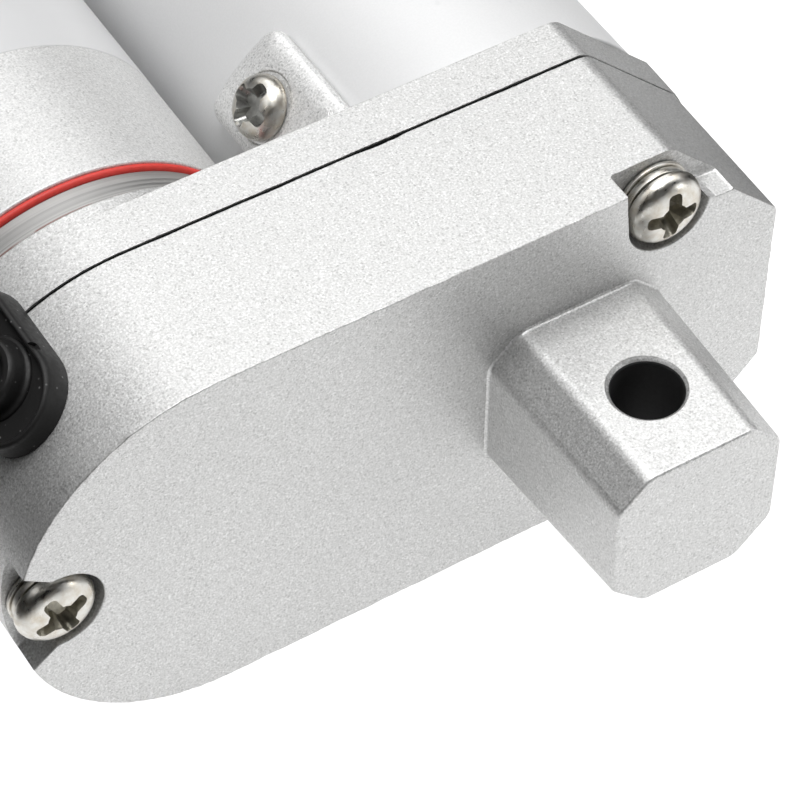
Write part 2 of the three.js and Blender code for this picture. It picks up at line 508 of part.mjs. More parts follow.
// ---------------------------------------------------------------- motor
add('motor_ring', turned([[6.6, RING_Y0], [RING_R, RING_Y0], [RING_R, RING_Y1], [17.5, RING_Y1], [17.5, 50.2], [15.8, 50.2],
  [15.8, 45.2], [6.6, 45.2], [6.6, RING_Y0]], MOTOR_X, 0, 28), turnedSteel());
{
  const points = [], n = 6;
  for (let i = 0; i <= n; i++) {
    const a = (2 * Math.PI * i) / n;
    points.push([18.78 + 0.48 * Math.cos(a), 46.44 + 0.32 * Math.sin(a)]);
  }
  points[n] = points[0];
  add('motor_oring', turned(points, MOTOR_X, 0, 24), redRubber());
}
add('motor_tube', sleeve(MTUBE_BORE, MTUBE_R, MTUBE_Y0, MTUBE_Y1, MOTOR_X, 0, 36), satinPaint());
add('motor_tube_cap', turned([[0, 144], [17.5, 144], [17.5, 148.3], [MTUBE_R, 148.3], [MTUBE_R, 150.2], [18.6, 151], [0, 151]], MOTOR_X, 0, 28), blackPlastic());
add('motor_can', turned([[3.6, CAN_Y0], [CAN_R, CAN_Y0], [CAN_R, CAN_Y1], [CAN_BORE, CAN_Y1], [CAN_BORE, CAN_Y0 + 1.6], [3.6, CAN_Y0 + 1.6], [3.6, CAN_Y0]], MOTOR_X, 0, 24), steel());
add('motor_end_bell', turned([[3.6, 131.3], [CAN_R - 0.1, 131.3], [CAN_R - 0.1, 138], [3.6, 138], [3.6, 131.3]], MOTOR_X, 0, 20), blackPlastic());
add('motor_bush_front', sleeve(1.85, 3.3, 50.7, 54.0, MOTOR_X, 0, 12), bronze());
add('motor_bush_rear', sleeve(1.85, 3.3, 133, 137.6, MOTOR_X, 0, 12), bronze());
[[35, 145], [215, 325]].forEach(([from, to], i) => {
  const points = [], n = 6;
  for (let k = 0; k <= n; k++) { const a = deg(from + ((to - from) * k) / n); points.push([15.8 * Math.cos(a), 15.8 * Math.sin(a)]); }
  for (let k = n; k >= 0; k--) { const a = deg(from + ((to - from) * k) / n); points.push([13.4 * Math.cos(a), 13.4 * Math.sin(a)]); }
  add(`magnet_${i + 1}`, alongY(shapeOf(points), 62, 112).translate(MOTOR_X, 0, 0), ferrite());
});
{
  // five-pole laminated core
  const points = [], poles = 5;
  for (let k = 0; k < poles; k++) {
    const c = (2 * Math.PI * k) / poles;
    for (const [r, d] of [[5.2, -20], [10.8, -9], [11.4, -31], [12.6, -29], [12.9, 0], [12.6, 29], [11.4, 31], [10.8, 9], [5.2, 20]]) {
      const a = c + deg(d);
      points.push([r * Math.cos(a), r * Math.sin(a)]);
    }
  }
  const shape = shapeOf(points);
  shape.holes.push(new THREE.Path().absarc(0, 0, 1.9, 0, 2 * Math.PI, true));
  add('armature_core', alongY(shape, 64, 110, 5).translate(MOTOR_X, 0, 0), steel());
  add('armature_winding_front', turned([[3.2, 58.4], [8.5, 58.4], [11, 60.5], [11, 63.7], [3.2, 63.7], [3.2, 58.4]], MOTOR_X, 0, 14), copper());
  add('armature_winding_rear', turned([[3.2, 110.3], [11, 110.3], [11, 113.5], [8.5, 115.6], [3.2, 115.6], [3.2, 110.3]], MOTOR_X, 0, 14), copper());
  add('commutator', sleeve(1.9, 4.2, 118, 129, MOTOR_X, 0, 12), copper());
  add('motor_shaft', rodY(1.6, 33.2, 137.2, MOTOR_X, 0, 12), groundSteel());
  add('motor_pinion', gearGeometry(PINION, [3.8, 4.51, 5.05], 5.6, 0, 1.9, MOTOR_X, PINION.y0, PINION.y1, 4), bronze());
}
add('brush_1', block(MOTOR_X + 4.5, MOTOR_X + 10.5, 121, 126, -1.8, 1.8), carbon());
add('brush_2', block(MOTOR_X - 10.5, MOTOR_X - 4.5, 121, 126, -1.8, 1.8), carbon());

export default group;
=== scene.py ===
import json
import math

import bmesh
import bpy
import numpy as np
from mathutils import Matrix, Vector, noise


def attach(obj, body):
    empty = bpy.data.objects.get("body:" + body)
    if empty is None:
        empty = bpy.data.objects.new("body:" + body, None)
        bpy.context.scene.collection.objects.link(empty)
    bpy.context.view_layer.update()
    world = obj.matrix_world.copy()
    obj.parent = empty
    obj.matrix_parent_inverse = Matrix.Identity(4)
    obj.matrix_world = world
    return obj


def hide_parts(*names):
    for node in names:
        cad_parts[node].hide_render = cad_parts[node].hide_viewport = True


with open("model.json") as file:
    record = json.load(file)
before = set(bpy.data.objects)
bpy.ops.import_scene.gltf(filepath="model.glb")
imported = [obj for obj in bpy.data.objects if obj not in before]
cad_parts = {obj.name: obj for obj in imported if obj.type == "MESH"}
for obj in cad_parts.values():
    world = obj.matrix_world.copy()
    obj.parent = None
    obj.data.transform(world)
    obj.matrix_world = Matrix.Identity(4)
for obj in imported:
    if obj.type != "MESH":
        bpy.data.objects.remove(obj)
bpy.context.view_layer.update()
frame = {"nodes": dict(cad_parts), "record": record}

MM = 0.001
NODES = frame["nodes"]

# ------------------------------------------------------------------ camera
# Solved from the object's own edges; the row's frame, in metres.
cam_data = bpy.data.cameras.new("camera")
cam = bpy.data.objects.new("camera", cam_data)
bpy.context.scene.collection.objects.link(cam)
back = Vector((-0.34814224, -0.55145209, 0.7580881)).normalized()
right = Vector((0.84558809, -0.53383592, 0.0)).normalized()
up = back.cross(right).normalized()
ROLL = 0.01455922
r2 = right * math.cos(ROLL) + up * math.sin(ROLL)
u2 = up * math.cos(ROLL) - right * math.sin(ROLL)
cam.matrix_world = Matrix((
    (r2.x, u2.x, back.x, -0.122772),
    (r2.y, u2.y, back.y, -0.146251),
    (r2.z, u2.z, back.z, 0.234958),
    (0, 0, 0, 1)))
cam_data.sensor_width = 36.0
cam_data.lens = 157.14
cam_data.clip_start, cam_data.clip_end = 0.01, 10
bpy.context.scene.camera = cam

# ------------------------------------------------------------------ dimensions, millimetres
MOTOR_X, TUBE_X, IDLER_X = -35.7, 4.4, -16.1
HALF_H, RIGHT_X, CORNER, BULGE_R, DRAFT = 20.0, 21.36, 10.2, 19.7, 0.0012
WALL = 2.6
SCREWS = [(9.25, 15.6), (9.25, -15.6), (-51.8, 0.0)]
POCKET_FLOOR = 22.4
GLAND_Y, GLAND_L, GLAND_W = 33.5, 8.4, 4.88


# ------------------------------------------------------------------ mesh helpers (work in millimetres)
def obj_from(name, verts, faces):
    me = bpy.data.meshes.new(name)
    me.from_pydata([tuple(v) for v in verts], [], [tuple(f) for f in faces])
    me.validate()
    ob = bpy.data.objects.new(name, me)
    bpy.context.scene.collection.objects.link(ob)
    outward(ob)
    return ob


def outward(ob):
    bm = bmesh.new()
    bm.from_mesh(ob.data)
    bmesh.ops.recalc_face_normals(bm, faces=bm.faces)
    if bm.calc_volume(signed=True) < 0:
        bmesh.ops.reverse_faces(bm, faces=bm.faces)
    bm.to_mesh(ob.data)
    bm.free()


def drafted(ob):
    """The casting widens a little on its right side, from the rear face to the flange."""
    for v in ob.data.vertices:
        if v.co.x > TUBE_X:
            v.co.x += (v.co.x - TUBE_X) * DRAFT * (v.co.y - 19.4)
    return ob


def loft(name, loops, closed_ring=False):
    """Joins loops of equal length with quads; caps both ends unless the loops close on themselves."""
    n = len(loops[0])
    verts = [p for loop in loops for p in loop]
    faces = []
    count = len(loops)
    for i in range(count if closed_ring else count - 1):
        a, b = i * n, ((i + 1) % count) * n
        for j in range(n):
            k = (j + 1) % n
            faces.append((a + j, a + k, b + k, b + j))
    if not closed_ring:
        faces.append(tuple(range(n - 1, -1, -1)))
        faces.append(tuple(range((count - 1) * n, count * n)))
    return obj_from(name, verts, faces)


def apply_mods(ob):
    dg = bpy.context.evaluated_depsgraph_get()
    dg.update()
    me = bpy.data.meshes.new_from_object(ob.evaluated_get(dg))
    old = ob.data
    ob.modifiers.clear()
    ob.data = me
    bpy.data.meshes.remove(old)
    return ob


def flat_faces(ob, tol=1e-5):
    """Splits every face that is not flat into triangles."""
    bm = bmesh.new()
    bm.from_mesh(ob.data)
    bent = []
    for f in bm.faces:
        if len(f.verts) > 3:
            c, n = f.calc_center_median(), f.normal
            if max(abs((v.co - c).dot(n)) for v in f.verts) > tol:
                bent.append(f)
    if bent:
        bmesh.ops.triangulate(bm, faces=bent)
        bm.to_mesh(ob.data)
    bm.free()


def boolean(a, b, op):
    flat_faces(a)
    flat_faces(b)
    m = a.modifiers.new("b", "BOOLEAN")
    m.operation, m.object, m.solver = op, b, "EXACT"
    apply_mods(a)
    bpy.data.objects.remove(b)
    return a


def cut(a, *tools):
    for t in tools:
        boolean(a, t, "DIFFERENCE")
    return a


def join(a, *tools):
    for t in tools:
        boolean(a, t, "UNION")
    return a


def clean(ob, dist=0.002):
    bm = bmesh.new()
    bm.from_mesh(ob.data)
    bmesh.ops.remove_doubles(bm, verts=bm.verts, dist=dist)
    bmesh.ops.dissolve_degenerate(bm, dist=dist, edges=bm.edges)
    bm.to_mesh(ob.data)
    bm.free()
    return ob


def transform(ob, m):
    ob.data.transform(m)
    if m.determinant() < 0:
        outward(ob)
    return ob


def arc(cx, cz, r, a0, a1, n):
    return [(cx + r * math.cos(math.radians(a0 + (a1 - a0) * i / n)),
             cz + r * math.sin(math.radians(a0 + (a1 - a0) * i / n))) for i in range(n + 1)]


def fillet(points, radii, n=6):
    """A polygon with its corners rounded; radii is one number or one for each corner."""
    out, count = [], len(points)
    for i, p in enumerate(points):
        r = radii[i] if isinstance(radii, (list, tuple)) else radii
        a, b, c = Vector(points[i - 1]), Vector(p), Vector(points[(i + 1) % count])
        u, v = (a - b).normalized(), (c - b).normalized()
        ang = math.acos(max(-1, min(1, u.dot(v))))
        if r <= 1e-6 or ang > math.pi - 0.02:
            out += [tuple(b)] * 1
            continue
        t = min(r / math.tan(ang / 2), 0.49 * (a - b).length, 0.49 * (c - b).length)
        r = t * math.tan(ang / 2)
        centre = b + (u + v).normalized() * (r / math.sin(ang / 2))
        s, e = b + u * t - centre, b + v * t - centre
        total = s.angle_signed(e)
        for k in range(n + 1):
            th = -total * k / n
            out.append(tuple(centre + Vector((s.x * math.cos(th) - s.y * math.sin(th),
                                              s.x * math.sin(th) + s.y * math.cos(th)))))
    return out


def outline(inset=0.0, bulge=False, steps=72, soft=1.0):
    """The housing's outline in (x, z), moved inwards by inset, its corners softened."""
    r, rt = HALF_H - inset, RIGHT_X - inset
    line = RIGHT_X + HALF_H - CORNER - inset * math.sqrt(2)
    pts = arc(MOTOR_X, 0, r, 90, 270, steps)
    rad = [0.0] * len(pts)
    s = max(soft, 0.2)
    pts.append((line - r, -r)); rad.append(s * 2.2)
    if bulge:
        half = 45 - math.degrees(math.acos((RIGHT_X + HALF_H - CORNER - TUBE_X) / math.sqrt(2) / BULGE_R))
        more = arc(TUBE_X, 0, BULGE_R - inset, -half, half, 24)
        pts += more; rad += [0.0] * len(more)
    else:
        pts += [(rt, -(line - rt)), (rt, line - rt)]; rad += [s, s]
    pts.append((line - r, r)); rad.append(s * 2.2)
    return fillet(pts, rad, 8)


def prism(name, pts, y0, y1):
    return loft(name, [[(x, y0, z) for x, z in pts], [(x, y1, z) for x, z in pts]])


def turned(name, profile, x=0.0, z=0.0, n=96, wave=None):
    """Revolves a closed (radius, y) profile about an axis parallel to Y. Points on the axis become poles."""
    verts, rows, faces = [], [], []
    for r, y in profile:
        if r < 1e-9:
            rows.append([len(verts)])
            verts.append((x, y, z))
        else:
            rows.append(list(range(len(verts), len(verts) + n)))
            for j in range(n):
                a = 2 * math.pi * j / n
                verts.append((x + r * math.cos(a), y, z + r * math.sin(a)))
    closed = len(rows[0]) > 1 and len(rows[-1]) > 1
    m = len(rows)
    for i in range(m if closed else m - 1):
        A, B = rows[i], rows[(i + 1) % m]
        for j in range(n):
            k = (j + 1) % n
            if len(A) == 1 and len(B) == 1:
                continue
            if len(A) == 1:
                faces.append((A[0], B[k], B[j]))
            elif len(B) == 1:
                faces.append((A[j], A[k], B[0]))
            else:
                faces.append((A[j], A[k], B[k], B[j]))
    return obj_from(name, verts, faces)


def cyl_y(name, r, y0, y1, x, z, n=48):
    return turned(name, [(0, y0), (r, y0), (r, y1), (0, y1)], x, z, n)


def radial_matrix(angle, x, y):
    """Takes things made along +Y, from the axis outwards, to point outwards at an angle in the XZ plane; local Z becomes the row's Y."""
    a = math.radians(angle)
    out, yy = Vector((math.cos(a), 0, math.sin(a))), Vector((0, 1, 0))
    side = out.cross(yy)
    return Matrix(((side.x, out.x, yy.x, x), (side.y, out.y, yy.y, y), (side.z, out.z, yy.z, 0), (0, 0, 0, 1)))


def smooth(ob, angle=32):
    me = ob.data
    me.shade_smooth()
    me.set_sharp_from_angle(angle=math.radians(angle))
    m = ob.modifiers.new("wn", "WEIGHTED_NORMAL")
    m.keep_sharp = True
    m.weight = 60
    return ob


def mark(ob, test):
    """Gives the faces whose middle passes the test to the piece's second material."""
    ob["marked"] = 1
    for p in ob.data.polygons:
        p.material_index = 1 if test(p.center) else 0
    return ob


def piece(ob, body, mat, slot, *replaced, angle=32, second=None):
    """Scales a finished millimetre mesh to metres, shades it, and rides it on its body."""
    ob.data.transform(Matrix.Scale(MM, 4))
    kept = [p.material_index if second else 0 for p in ob.data.polygons]
    ob.data.materials.clear()
    ob.data.materials.append(mat)
    if second:
        ob.data.materials.append(second)
    for p, k in zip(ob.data.polygons, kept):
        p.material_index = min(k, 1)
    smooth(ob, angle)
    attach(ob, body)
    if replaced:
        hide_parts(*replaced)
    return ob


# ------------------------------------------------------------------ materials
class Mat:
    """A small wrapper that builds a procedural Principled material."""

    def __init__(self, name, color=(0.8, 0.8, 0.8), rough=0.5, metal=0.0, coat=0.0, spec=0.5, aniso=0.0):
        self.m = bpy.data.materials.new(name)
        self.m.use_nodes = True
        self.t = self.m.node_tree
        self.b = self.t.nodes["Principled BSDF"]
        self.b.inputs["Base Color"].default_value = (*color, 1)
        self.b.inputs["Roughness"].default_value = rough
        self.b.inputs["Metallic"].default_value = metal
        self.b.inputs["Coat Weight"].default_value = coat
        self.b.inputs["Specular IOR Level"].default_value = spec
        self.coord = self.t.nodes.new("ShaderNodeTexCoord").outputs["Object"]
        self.normal = None

    def node(self, kind, **inputs):
        n = self.t.nodes.new(kind)
        for k, v in inputs.items():
            key = k.replace("_", " ")
            if key in n.inputs:
                if hasattr(v, "links"):
                    self.t.links.new(v, n.inputs[key])
                else:
                    n.inputs[key].default_value = v
            else:
                setattr(n, k, v)
        return n

    def scaled(self, sx, sy, sz, source=None):
        n = self.node("ShaderNodeMapping")
        self.t.links.new(source or self.coord, n.inputs["Vector"])
        n.inputs["Scale"].default_value = (sx, sy, sz)
        return n.outputs["Vector"]

    def noise(self, scale, detail=2.0, rough=0.5, vec=None, distortion=0.0):
        n = self.node("ShaderNodeTexNoise", Scale=scale, Detail=detail, Roughness=rough, Distortion=distortion)
        self.t.links.new(vec or self.coord, n.inputs["Vector"])
        return n.outputs["Fac"]

    def ramp(self, fac, lo, hi, a=0.0, b=1.0):
        n = self.node("ShaderNodeMapRange")
        self.t.links.new(fac, n.inputs["Value"])
        n.inputs["From Min"].default_value, n.inputs["From Max"].default_value = lo, hi
        n.inputs["To Min"].default_value, n.inputs["To Max"].default_value = a, b
        n.clamp = True
        return n.outputs["Result"]

    def math(self, op, a, b=0.0):
        n = self.node("ShaderNodeMath")
        n.operation = op
        for i, v in enumerate((a, b)):
            if hasattr(v, "links"):
                self.t.links.new(v, n.inputs[i])
            else:
                n.inputs[i].default_value = v
        return n.outputs[0]

    def mix(self, fac, a, b, blend="MIX"):
        n = self.t.nodes.new("ShaderNodeMix")
        n.data_type, n.blend_type = "RGBA", blend
        for key, v in ((0, fac), (6, a), (7, b)):
            if hasattr(v, "links"):
                self.t.links.new(v, n.inputs[key])
            else:
                n.inputs[key].default_value = v if key == 0 else (*v, 1)
        return n.outputs[2]

    def color(self, out):
        self.t.links.new(out, self.b.inputs["Base Color"])

    def rough(self, out):
        self.t.links.new(out, self.b.inputs["Roughness"])

    def metal(self, out):
        self.t.links.new(out, self.b.inputs["Metallic"])

    def bump(self, height, distance, strength=1.0):
        n = self.node("ShaderNodeBump", Distance=distance, Strength=strength)
        self.t.links.new(height, n.inputs["Height"])
        if self.normal is not None:
            self.t.links.new(self.normal, n.inputs["Normal"])
        self.normal = n.outputs["Normal"]
        self.t.links.new(self.normal, self.b.inputs["Normal"])

    def edges(self, radius):
        """About 1 along convex and concave edges, 0 on flats."""
        bv = self.t.nodes.new("ShaderNodeBevel")
        bv.samples = 4
        bv.inputs["Radius"].default_value = radius
        geo = self.t.nodes.new("ShaderNodeNewGeometry")
        d = self.t.nodes.new("ShaderNodeVectorMath")
        d.operation = "DOT_PRODUCT"
        self.t.links.new(bv.outputs[0], d.inputs[0])
        self.t.links.new(geo.outputs["Normal"], d.inputs[1])
        return self.ramp(d.outputs["Value"], 0.995, 0.9)


def cast_paint(name="cast_silver_paint", base=(0.60, 0.60, 0.595), grain=1.0, rough=0.47, metal=0.75):
    """Silver paint with a fine sand grain, over a die casting."""
    k = Mat(name, base, rough, metal, coat=0.0)
    fine = k.noise(5200, 2.0, 0.6)
    mid = k.noise(2300, 2.0, 0.5)
    broad = k.noise(45, 3.0, 0.5)
    flake = k.node("ShaderNodeTexVoronoi", Scale=6400.0)
    k.t.links.new(k.coord, flake.inputs["Vector"])
    light = k.mix(k.ramp(fine, 0.3, 0.7), tuple(c * (1 - 0.24 * grain) for c in base), tuple(min(1, c * (1 + 0.2 * grain)) for c in base))
    cell = k.t.nodes.new("ShaderNodeSeparateColor")
    k.t.links.new(flake.outputs["Color"], cell.inputs[0])
    sparkle = k.ramp(cell.outputs[0], 0.8, 1.0)
    pit = k.ramp(cell.outputs[1], 0.84, 1.0)
    c = k.mix(k.math("MULTIPLY", sparkle, 0.42 * grain), light, (0.94, 0.94, 0.94))
    c = k.mix(k.math("MULTIPLY", pit, 0.42 * grain), c, (0.2, 0.2, 0.2))
    c = k.mix(k.math("MULTIPLY", k.ramp(broad, 0.35, 0.75), 0.06), c, (0.45, 0.45, 0.44))
    e = k.edges(0.0003)
    worn = k.math("MULTIPLY", e, k.ramp(k.noise(1100, 3.0, 0.6), 0.48, 0.58))
    c = k.mix(k.math("MULTIPLY", worn, 0.7), c, (0.24, 0.235, 0.225))
    k.color(c)
    k.rough(k.math("ADD", k.ramp(fine, 0.3, 0.7, rough - 0.07, rough + 0.07), k.math("MULTIPLY", worn, -0.12)))
    k.bump(mid, 0.00002, 0.25 * grain)
    k.bump(fine, 0.00003, 0.6 * grain)
    return k.m


def tube_paint(name="tube_satin", base=(0.70, 0.702, 0.705), rough=0.5, metal=0.15):
    """Smooth satin anodised tube with very faint drawing lines along Y."""
    k = Mat(name, base, rough, metal)
    lines = k.noise(1.0, 3.0, 0.6, vec=k.scaled(2600, 60, 2600))
    grain = k.noise(5200, 2.0, 0.5)
    spots = k.noise(420, 2.0, 0.5)
    c = k.mix(k.ramp(grain, 0.35, 0.65), tuple(x * 0.985 for x in base), tuple(min(1, x * 1.015) for x in base))
    c = k.mix(k.math("MULTIPLY", k.ramp(spots, 0.73, 0.78), 0.18), c, (0.42, 0.42, 0.42))
    k.color(c)
    k.rough(k.ramp(lines, 0.3, 0.7, rough - 0.04, rough + 0.05))
    k.bump(lines, 0.00001, 0.12)
    k.bump(grain, 0.00001, 0.12)
    return k.m


def turned_metal(name="turned_ring", base=(0.39, 0.388, 0.38), rough=0.5, pitch=3600, strength=0.6):
    """Metal turned on a lathe about Y: fine rings and a few dark scratches."""
    k = Mat(name, base, rough, 0.9)
    rings = k.noise(1.0, 4.0, 0.7, vec=k.scaled(25, pitch, 25))
    coarse = k.noise(1.0, 2.0, 0.5, vec=k.scaled(60, 1200, 60))
    stain = k.noise(160, 3.0, 0.5)
    c = k.mix(k.ramp(rings, 0.3, 0.7), tuple(x * 0.72 for x in base), tuple(min(1, x * 1.25) for x in base))
    c = k.mix(k.math("MULTIPLY", k.ramp(stain, 0.5, 0.8), 0.25), c, tuple(x * 0.6 for x in base))
    split = k.t.nodes.new("ShaderNodeSeparateXYZ")
    k.t.links.new(k.coord, split.inputs[0])
    low = k.math("MULTIPLY", k.ramp(split.outputs["Y"], 0.04362, 0.04348), k.ramp(k.noise(240, 2.0, 0.5), 0.42, 0.5))
    c = k.mix(k.math("MULTIPLY", low, 0.75), c, (0.2, 0.07, 0.05))
    k.color(c)
    k.rough(k.ramp(rings, 0.3, 0.7, rough - 0.08, rough + 0.14))
    k.bump(coarse, 0.00001, strength * 0.3)
    k.bump(rings, 0.00002, strength)
    return k.m


def bright_metal(name="nickel_screw", base=(0.62, 0.61, 0.575), rough=0.27):
    """Bright plated screw with small scuffs and scattered warm stains; the darker colour inside its cross recess is
    painted shade, from a separate material.
    """
    k = Mat(name, base, rough, 1.0)
    n = k.noise(900, 4.0, 0.6)
    s = k.noise(1.0, 3.0, 0.7, vec=k.scaled(900, 2600, 900))
    c = k.mix(k.ramp(n, 0.42, 0.75), base, (0.46, 0.41, 0.33))
    k.color(c)
    k.rough(k.ramp(s, 0.3, 0.75, rough - 0.05, rough + 0.22))
    k.bump(n, 0.00004, 0.25)
    k.bump(s, 0.00001, 0.3)
    return k.m


def rubber(name="black_rubber", base=(0.0085, 0.0083, 0.0083), rough=0.5, scratch=1.0):
    k = Mat(name, base, rough, 0.0, spec=0.35)
    f = k.noise(2200, 3.0, 0.6)
    dust = k.node("ShaderNodeTexVoronoi", Scale=1100.0)
    k.t.links.new(k.coord, dust.inputs["Vector"])
    speck = k.ramp(dust.outputs["Distance"], 0.14, 0.05)
    lines = k.noise(1.0, 2.0, 0.6, vec=k.scaled(180, 1500, 2400), distortion=1.2)
    mark = k.math("MULTIPLY", k.ramp(lines, 0.74, 0.78), scratch)
    c = k.mix(k.math("MULTIPLY", speck, 0.3 * scratch), base, (0.4, 0.4, 0.4))
    c = k.mix(k.math("MULTIPLY", mark, 0.25), c, (0.22, 0.22, 0.22))
    k.color(c)
    k.rough(k.ramp(f, 0.3, 0.7, rough - 0.06, rough + 0.1))
    k.bump(f, 0.00002, 0.3)
    return k.m


def plain(name, base, rough, metal=0.0, scale=1800, depth=0.00002, vary=0.1, strength=0.3, spec=0.5):
    """Machined, moulded or sintered part: fine texture, slight colour change, roughness change."""
    k = Mat(name, base, rough, metal, spec=spec)
    f = k.noise(scale, 3.0, 0.6)
    b = k.noise(scale / 14, 2.0, 0.5)
    c = k.mix(k.ramp(f, 0.3, 0.7), tuple(x * (1 - vary) for x in base), tuple(min(1, x * (1 + vary)) for x in base))
    c = k.mix(k.math("MULTIPLY", k.ramp(b, 0.45, 0.8), vary), c, tuple(x * 0.6 for x in base))
    k.color(c)
    k.rough(k.ramp(f, 0.3, 0.7, max(0.05, rough - 0.06), rough + 0.08))
    k.bump(f, depth, strength)
    return k.m


def film(name, base, rough):
    """Smooth plastic film: hardly any change of colour, no grain."""
    k = Mat(name, base, rough, 0.0)
    n = k.noise(260, 2.0, 0.5)
    k.color(k.mix(k.ramp(n, 0.3, 0.7), base, tuple(x * 0.985 for x in base)))
    k.rough(k.ramp(n, 0.3, 0.7, rough, rough + 0.02))
    return k.m


PAINT = cast_paint()
TUBE = tube_paint()
RING = turned_metal()
SCREW = bright_metal()
RUBBER = rubber()
MATS = {
    "cast_silver": PAINT,
    "satin_silver": TUBE,
    "turned_steel": RING,
    "bright_screw": SCREW,
    "bearing_steel": plain("bearing_steel", (0.6, 0.61, 0.62), 0.22, 1.0, 2600, 0.00001, 0.06, 0.2),
    "black_rubber": RUBBER,
    "red_rubber": plain("red_rubber", (0.62, 0.045, 0.035), 0.55, 0.0, 1500, 0.00002, 0.08, 0.2),
    "gear_steel": plain("gear_steel", (0.33, 0.335, 0.34), 0.34, 1.0, 1400, 0.00002, 0.12, 0.3),
    "gear_nylon": plain("gear_nylon", (0.78, 0.75, 0.65), 0.5, 0.0, 900, 0.00002, 0.05, 0.2),
    "bronze": plain("bronze_part", (0.5, 0.3, 0.12), 0.36, 1.0, 2200, 0.00003, 0.14, 0.4),
    "copper": plain("copper_wire", (0.48, 0.2, 0.09), 0.32, 1.0, 1200, 0.00006, 0.2, 0.7),
    "carbon": plain("carbon_brush", (0.03, 0.03, 0.032), 0.6, 0.1, 2200, 0.00003, 0.2, 0.4),
    "ferrite": plain("ferrite_magnet", (0.05, 0.05, 0.053), 0.75, 0.1, 1500, 0.00003, 0.2, 0.4),
    "black_plastic": plain("black_plastic", (0.014, 0.014, 0.016), 0.45, 0.0, 1600, 0.00002, 0.15, 0.35),
    "board_green": plain("board_green", (0.02, 0.12, 0.05), 0.35, 0.0, 700, 0.00001, 0.1, 0.15),
}
GASKET = plain("gasket_black", (0.004, 0.004, 0.004), 0.9, 0.0, 900, 0.00002, 0.2, 0.3, 0.05)
# Near-black material for the inner wall of the clevis bore: painted shade inside the hole.
BORE_PAINTED_SHADE = plain("bore_painted_shade", (0.032, 0.032, 0.033), 0.55, 0.0, 2600, 0.00004, 0.3, 0.5, 0.35)
# Darker, warmer material for the faces inside the cover screws' cross recesses: painted shade in the recess.
SCREW_CROSS_PAINTED_SHADE = plain("screw_cross_painted_shade", (0.4, 0.38, 0.32), 0.34, 0.8, 1500, 0.00003, 0.35, 0.4)
ROD = plain("rod_polished", (0.62, 0.625, 0.63), 0.2, 1.0, 3000, 0.000008, 0.04, 0.15)
TUBE_END = tube_paint("rod_end_satin", (0.66, 0.665, 0.67), 0.34, 0.7)
MOTOR_PAINT = cast_paint("motor_tube_paint", (0.66, 0.66, 0.655), 0.8, 0.48, 0.4)
# Darker material for the faces inside the tube screws' cross recesses: painted shade in the recess.
TUBE_SCREW_CROSS_PAINTED_SHADE = plain("tube_screw_cross_painted_shade", (0.34, 0.34, 0.325), 0.32, 0.85, 1500, 0.00003, 0.3, 0.4)
# A lighter copy of the cast paint for the lug faces: painted light, brightening the lug where the motor tube shades it.
LUG_PAINTED_LIGHT = cast_paint("lug_paint_painted_light", (0.8, 0.8, 0.794), 1.0, 0.5, 0.55)
WRAP = film("white_wrap", (0.575, 0.577, 0.582), 0.34)
slots = {s["node"]: s["material_slot"] for s in frame["record"]["subparts"]}
for name, ob in NODES.items():
    ob.data.materials.clear()
    ob.data.materials.append(MATS[slots[name]])
    for p in ob.data.polygons:
        p.material_index = 0


# ------------------------------------------------------------------ shared shapes
def dense(points, counts):
    out = []
    for i, n in enumerate(counts):
        a, b = points[i], points[(i + 1) % len(points)]
        out += [(a[0] + (b[0] - a[0]) * k / n, a[1] + (b[1] - a[1]) * k / n) for k in range(n)]
    return out


def counts_for(points, step):
    return [max(1, round(math.dist(points[i], points[(i + 1) % len(points)]) / step)) for i in range(len(points))]


def offset(points, d):
    """Moves a closed anticlockwise polygon's points outwards by d (mitred, with the mitre limited)."""
    area = sum(points[i - 1][0] * points[i][1] - points[i][0] * points[i - 1][1] for i in range(len(points)))
    sign = 1 if area > 0 else -1
    out = []
    for i, p in enumerate(points):
        a, c = Vector(points[i - 1]), Vector(points[(i + 1) % len(points)])
        p = Vector(p)
        u, v = (p - a), (c - p)
        if u.length < 1e-9 or v.length < 1e-9:
            u = v = c - a
        u, v = u.normalized(), v.normalized()
        n1, n2 = Vector((u.y, -u.x)) * sign, Vector((v.y, -v.x)) * sign
        m = n1 + n2
        m = n1 if m.length < 1e-6 else m.normalized()
        out.append(tuple(p + m * (d / max(0.45, m.dot(n1)))))
    return out


BASE = {b: counts_for(outline(0, bulge=b), 0.34) for b in (False, True)}


def rim(inset, bulge=False):
    return dense(outline(inset, bulge), BASE[bulge])


def chipped(x, z, y, chips):
    return sum(d * math.exp(-((x - cx) / w) ** 2) for cx, s, d, w in chips if z * s > 0)


def solid_between(name, shape, y0, y1, r0, r1, rough0=0.0, rough1=0.0, n=4, chips=()):
    """Solid between two Y planes, with both rims rounded by r0 and r1, and the rims a little uneven, as on a casting."""
    loops = [[(x, y0, z) for x, z in shape(r0 + 0.6)]]
    for i in range(n + 1):
        a = math.pi / 2 * i / n
        pts = shape(r0 * (1 - math.sin(a)))
        loops.append([(x, y0 + r0 * (1 - math.cos(a)) + (rough0 * (0.65 * noise.noise(Vector((x * 1.9, z * 1.9, 3.1))) + 0.5 * noise.noise(Vector((x * 0.5, z * 0.5, 7.7)))) if i < n else 0.0), z) for x, z in pts])
    for i in range(n, -1, -1):
        a = math.pi / 2 * i / n
        pts = shape(r1 * (1 - math.sin(a)))
        loops.append([(x, y1 - chipped(x, z, y1, chips) - r1 * (1 - math.cos(a)) + (rough1 * (0.65 * noise.noise(Vector((x * 1.7, z * 1.7, 13.1))) + 0.7 * noise.noise(Vector((x * 0.35, z * 0.35, 17.7)))) if i < n else 0.0), z) for x, z in pts])
    loops.append([(x, y1, z) for x, z in shape(r1 + 0.6)])
    return loft(name, loops)


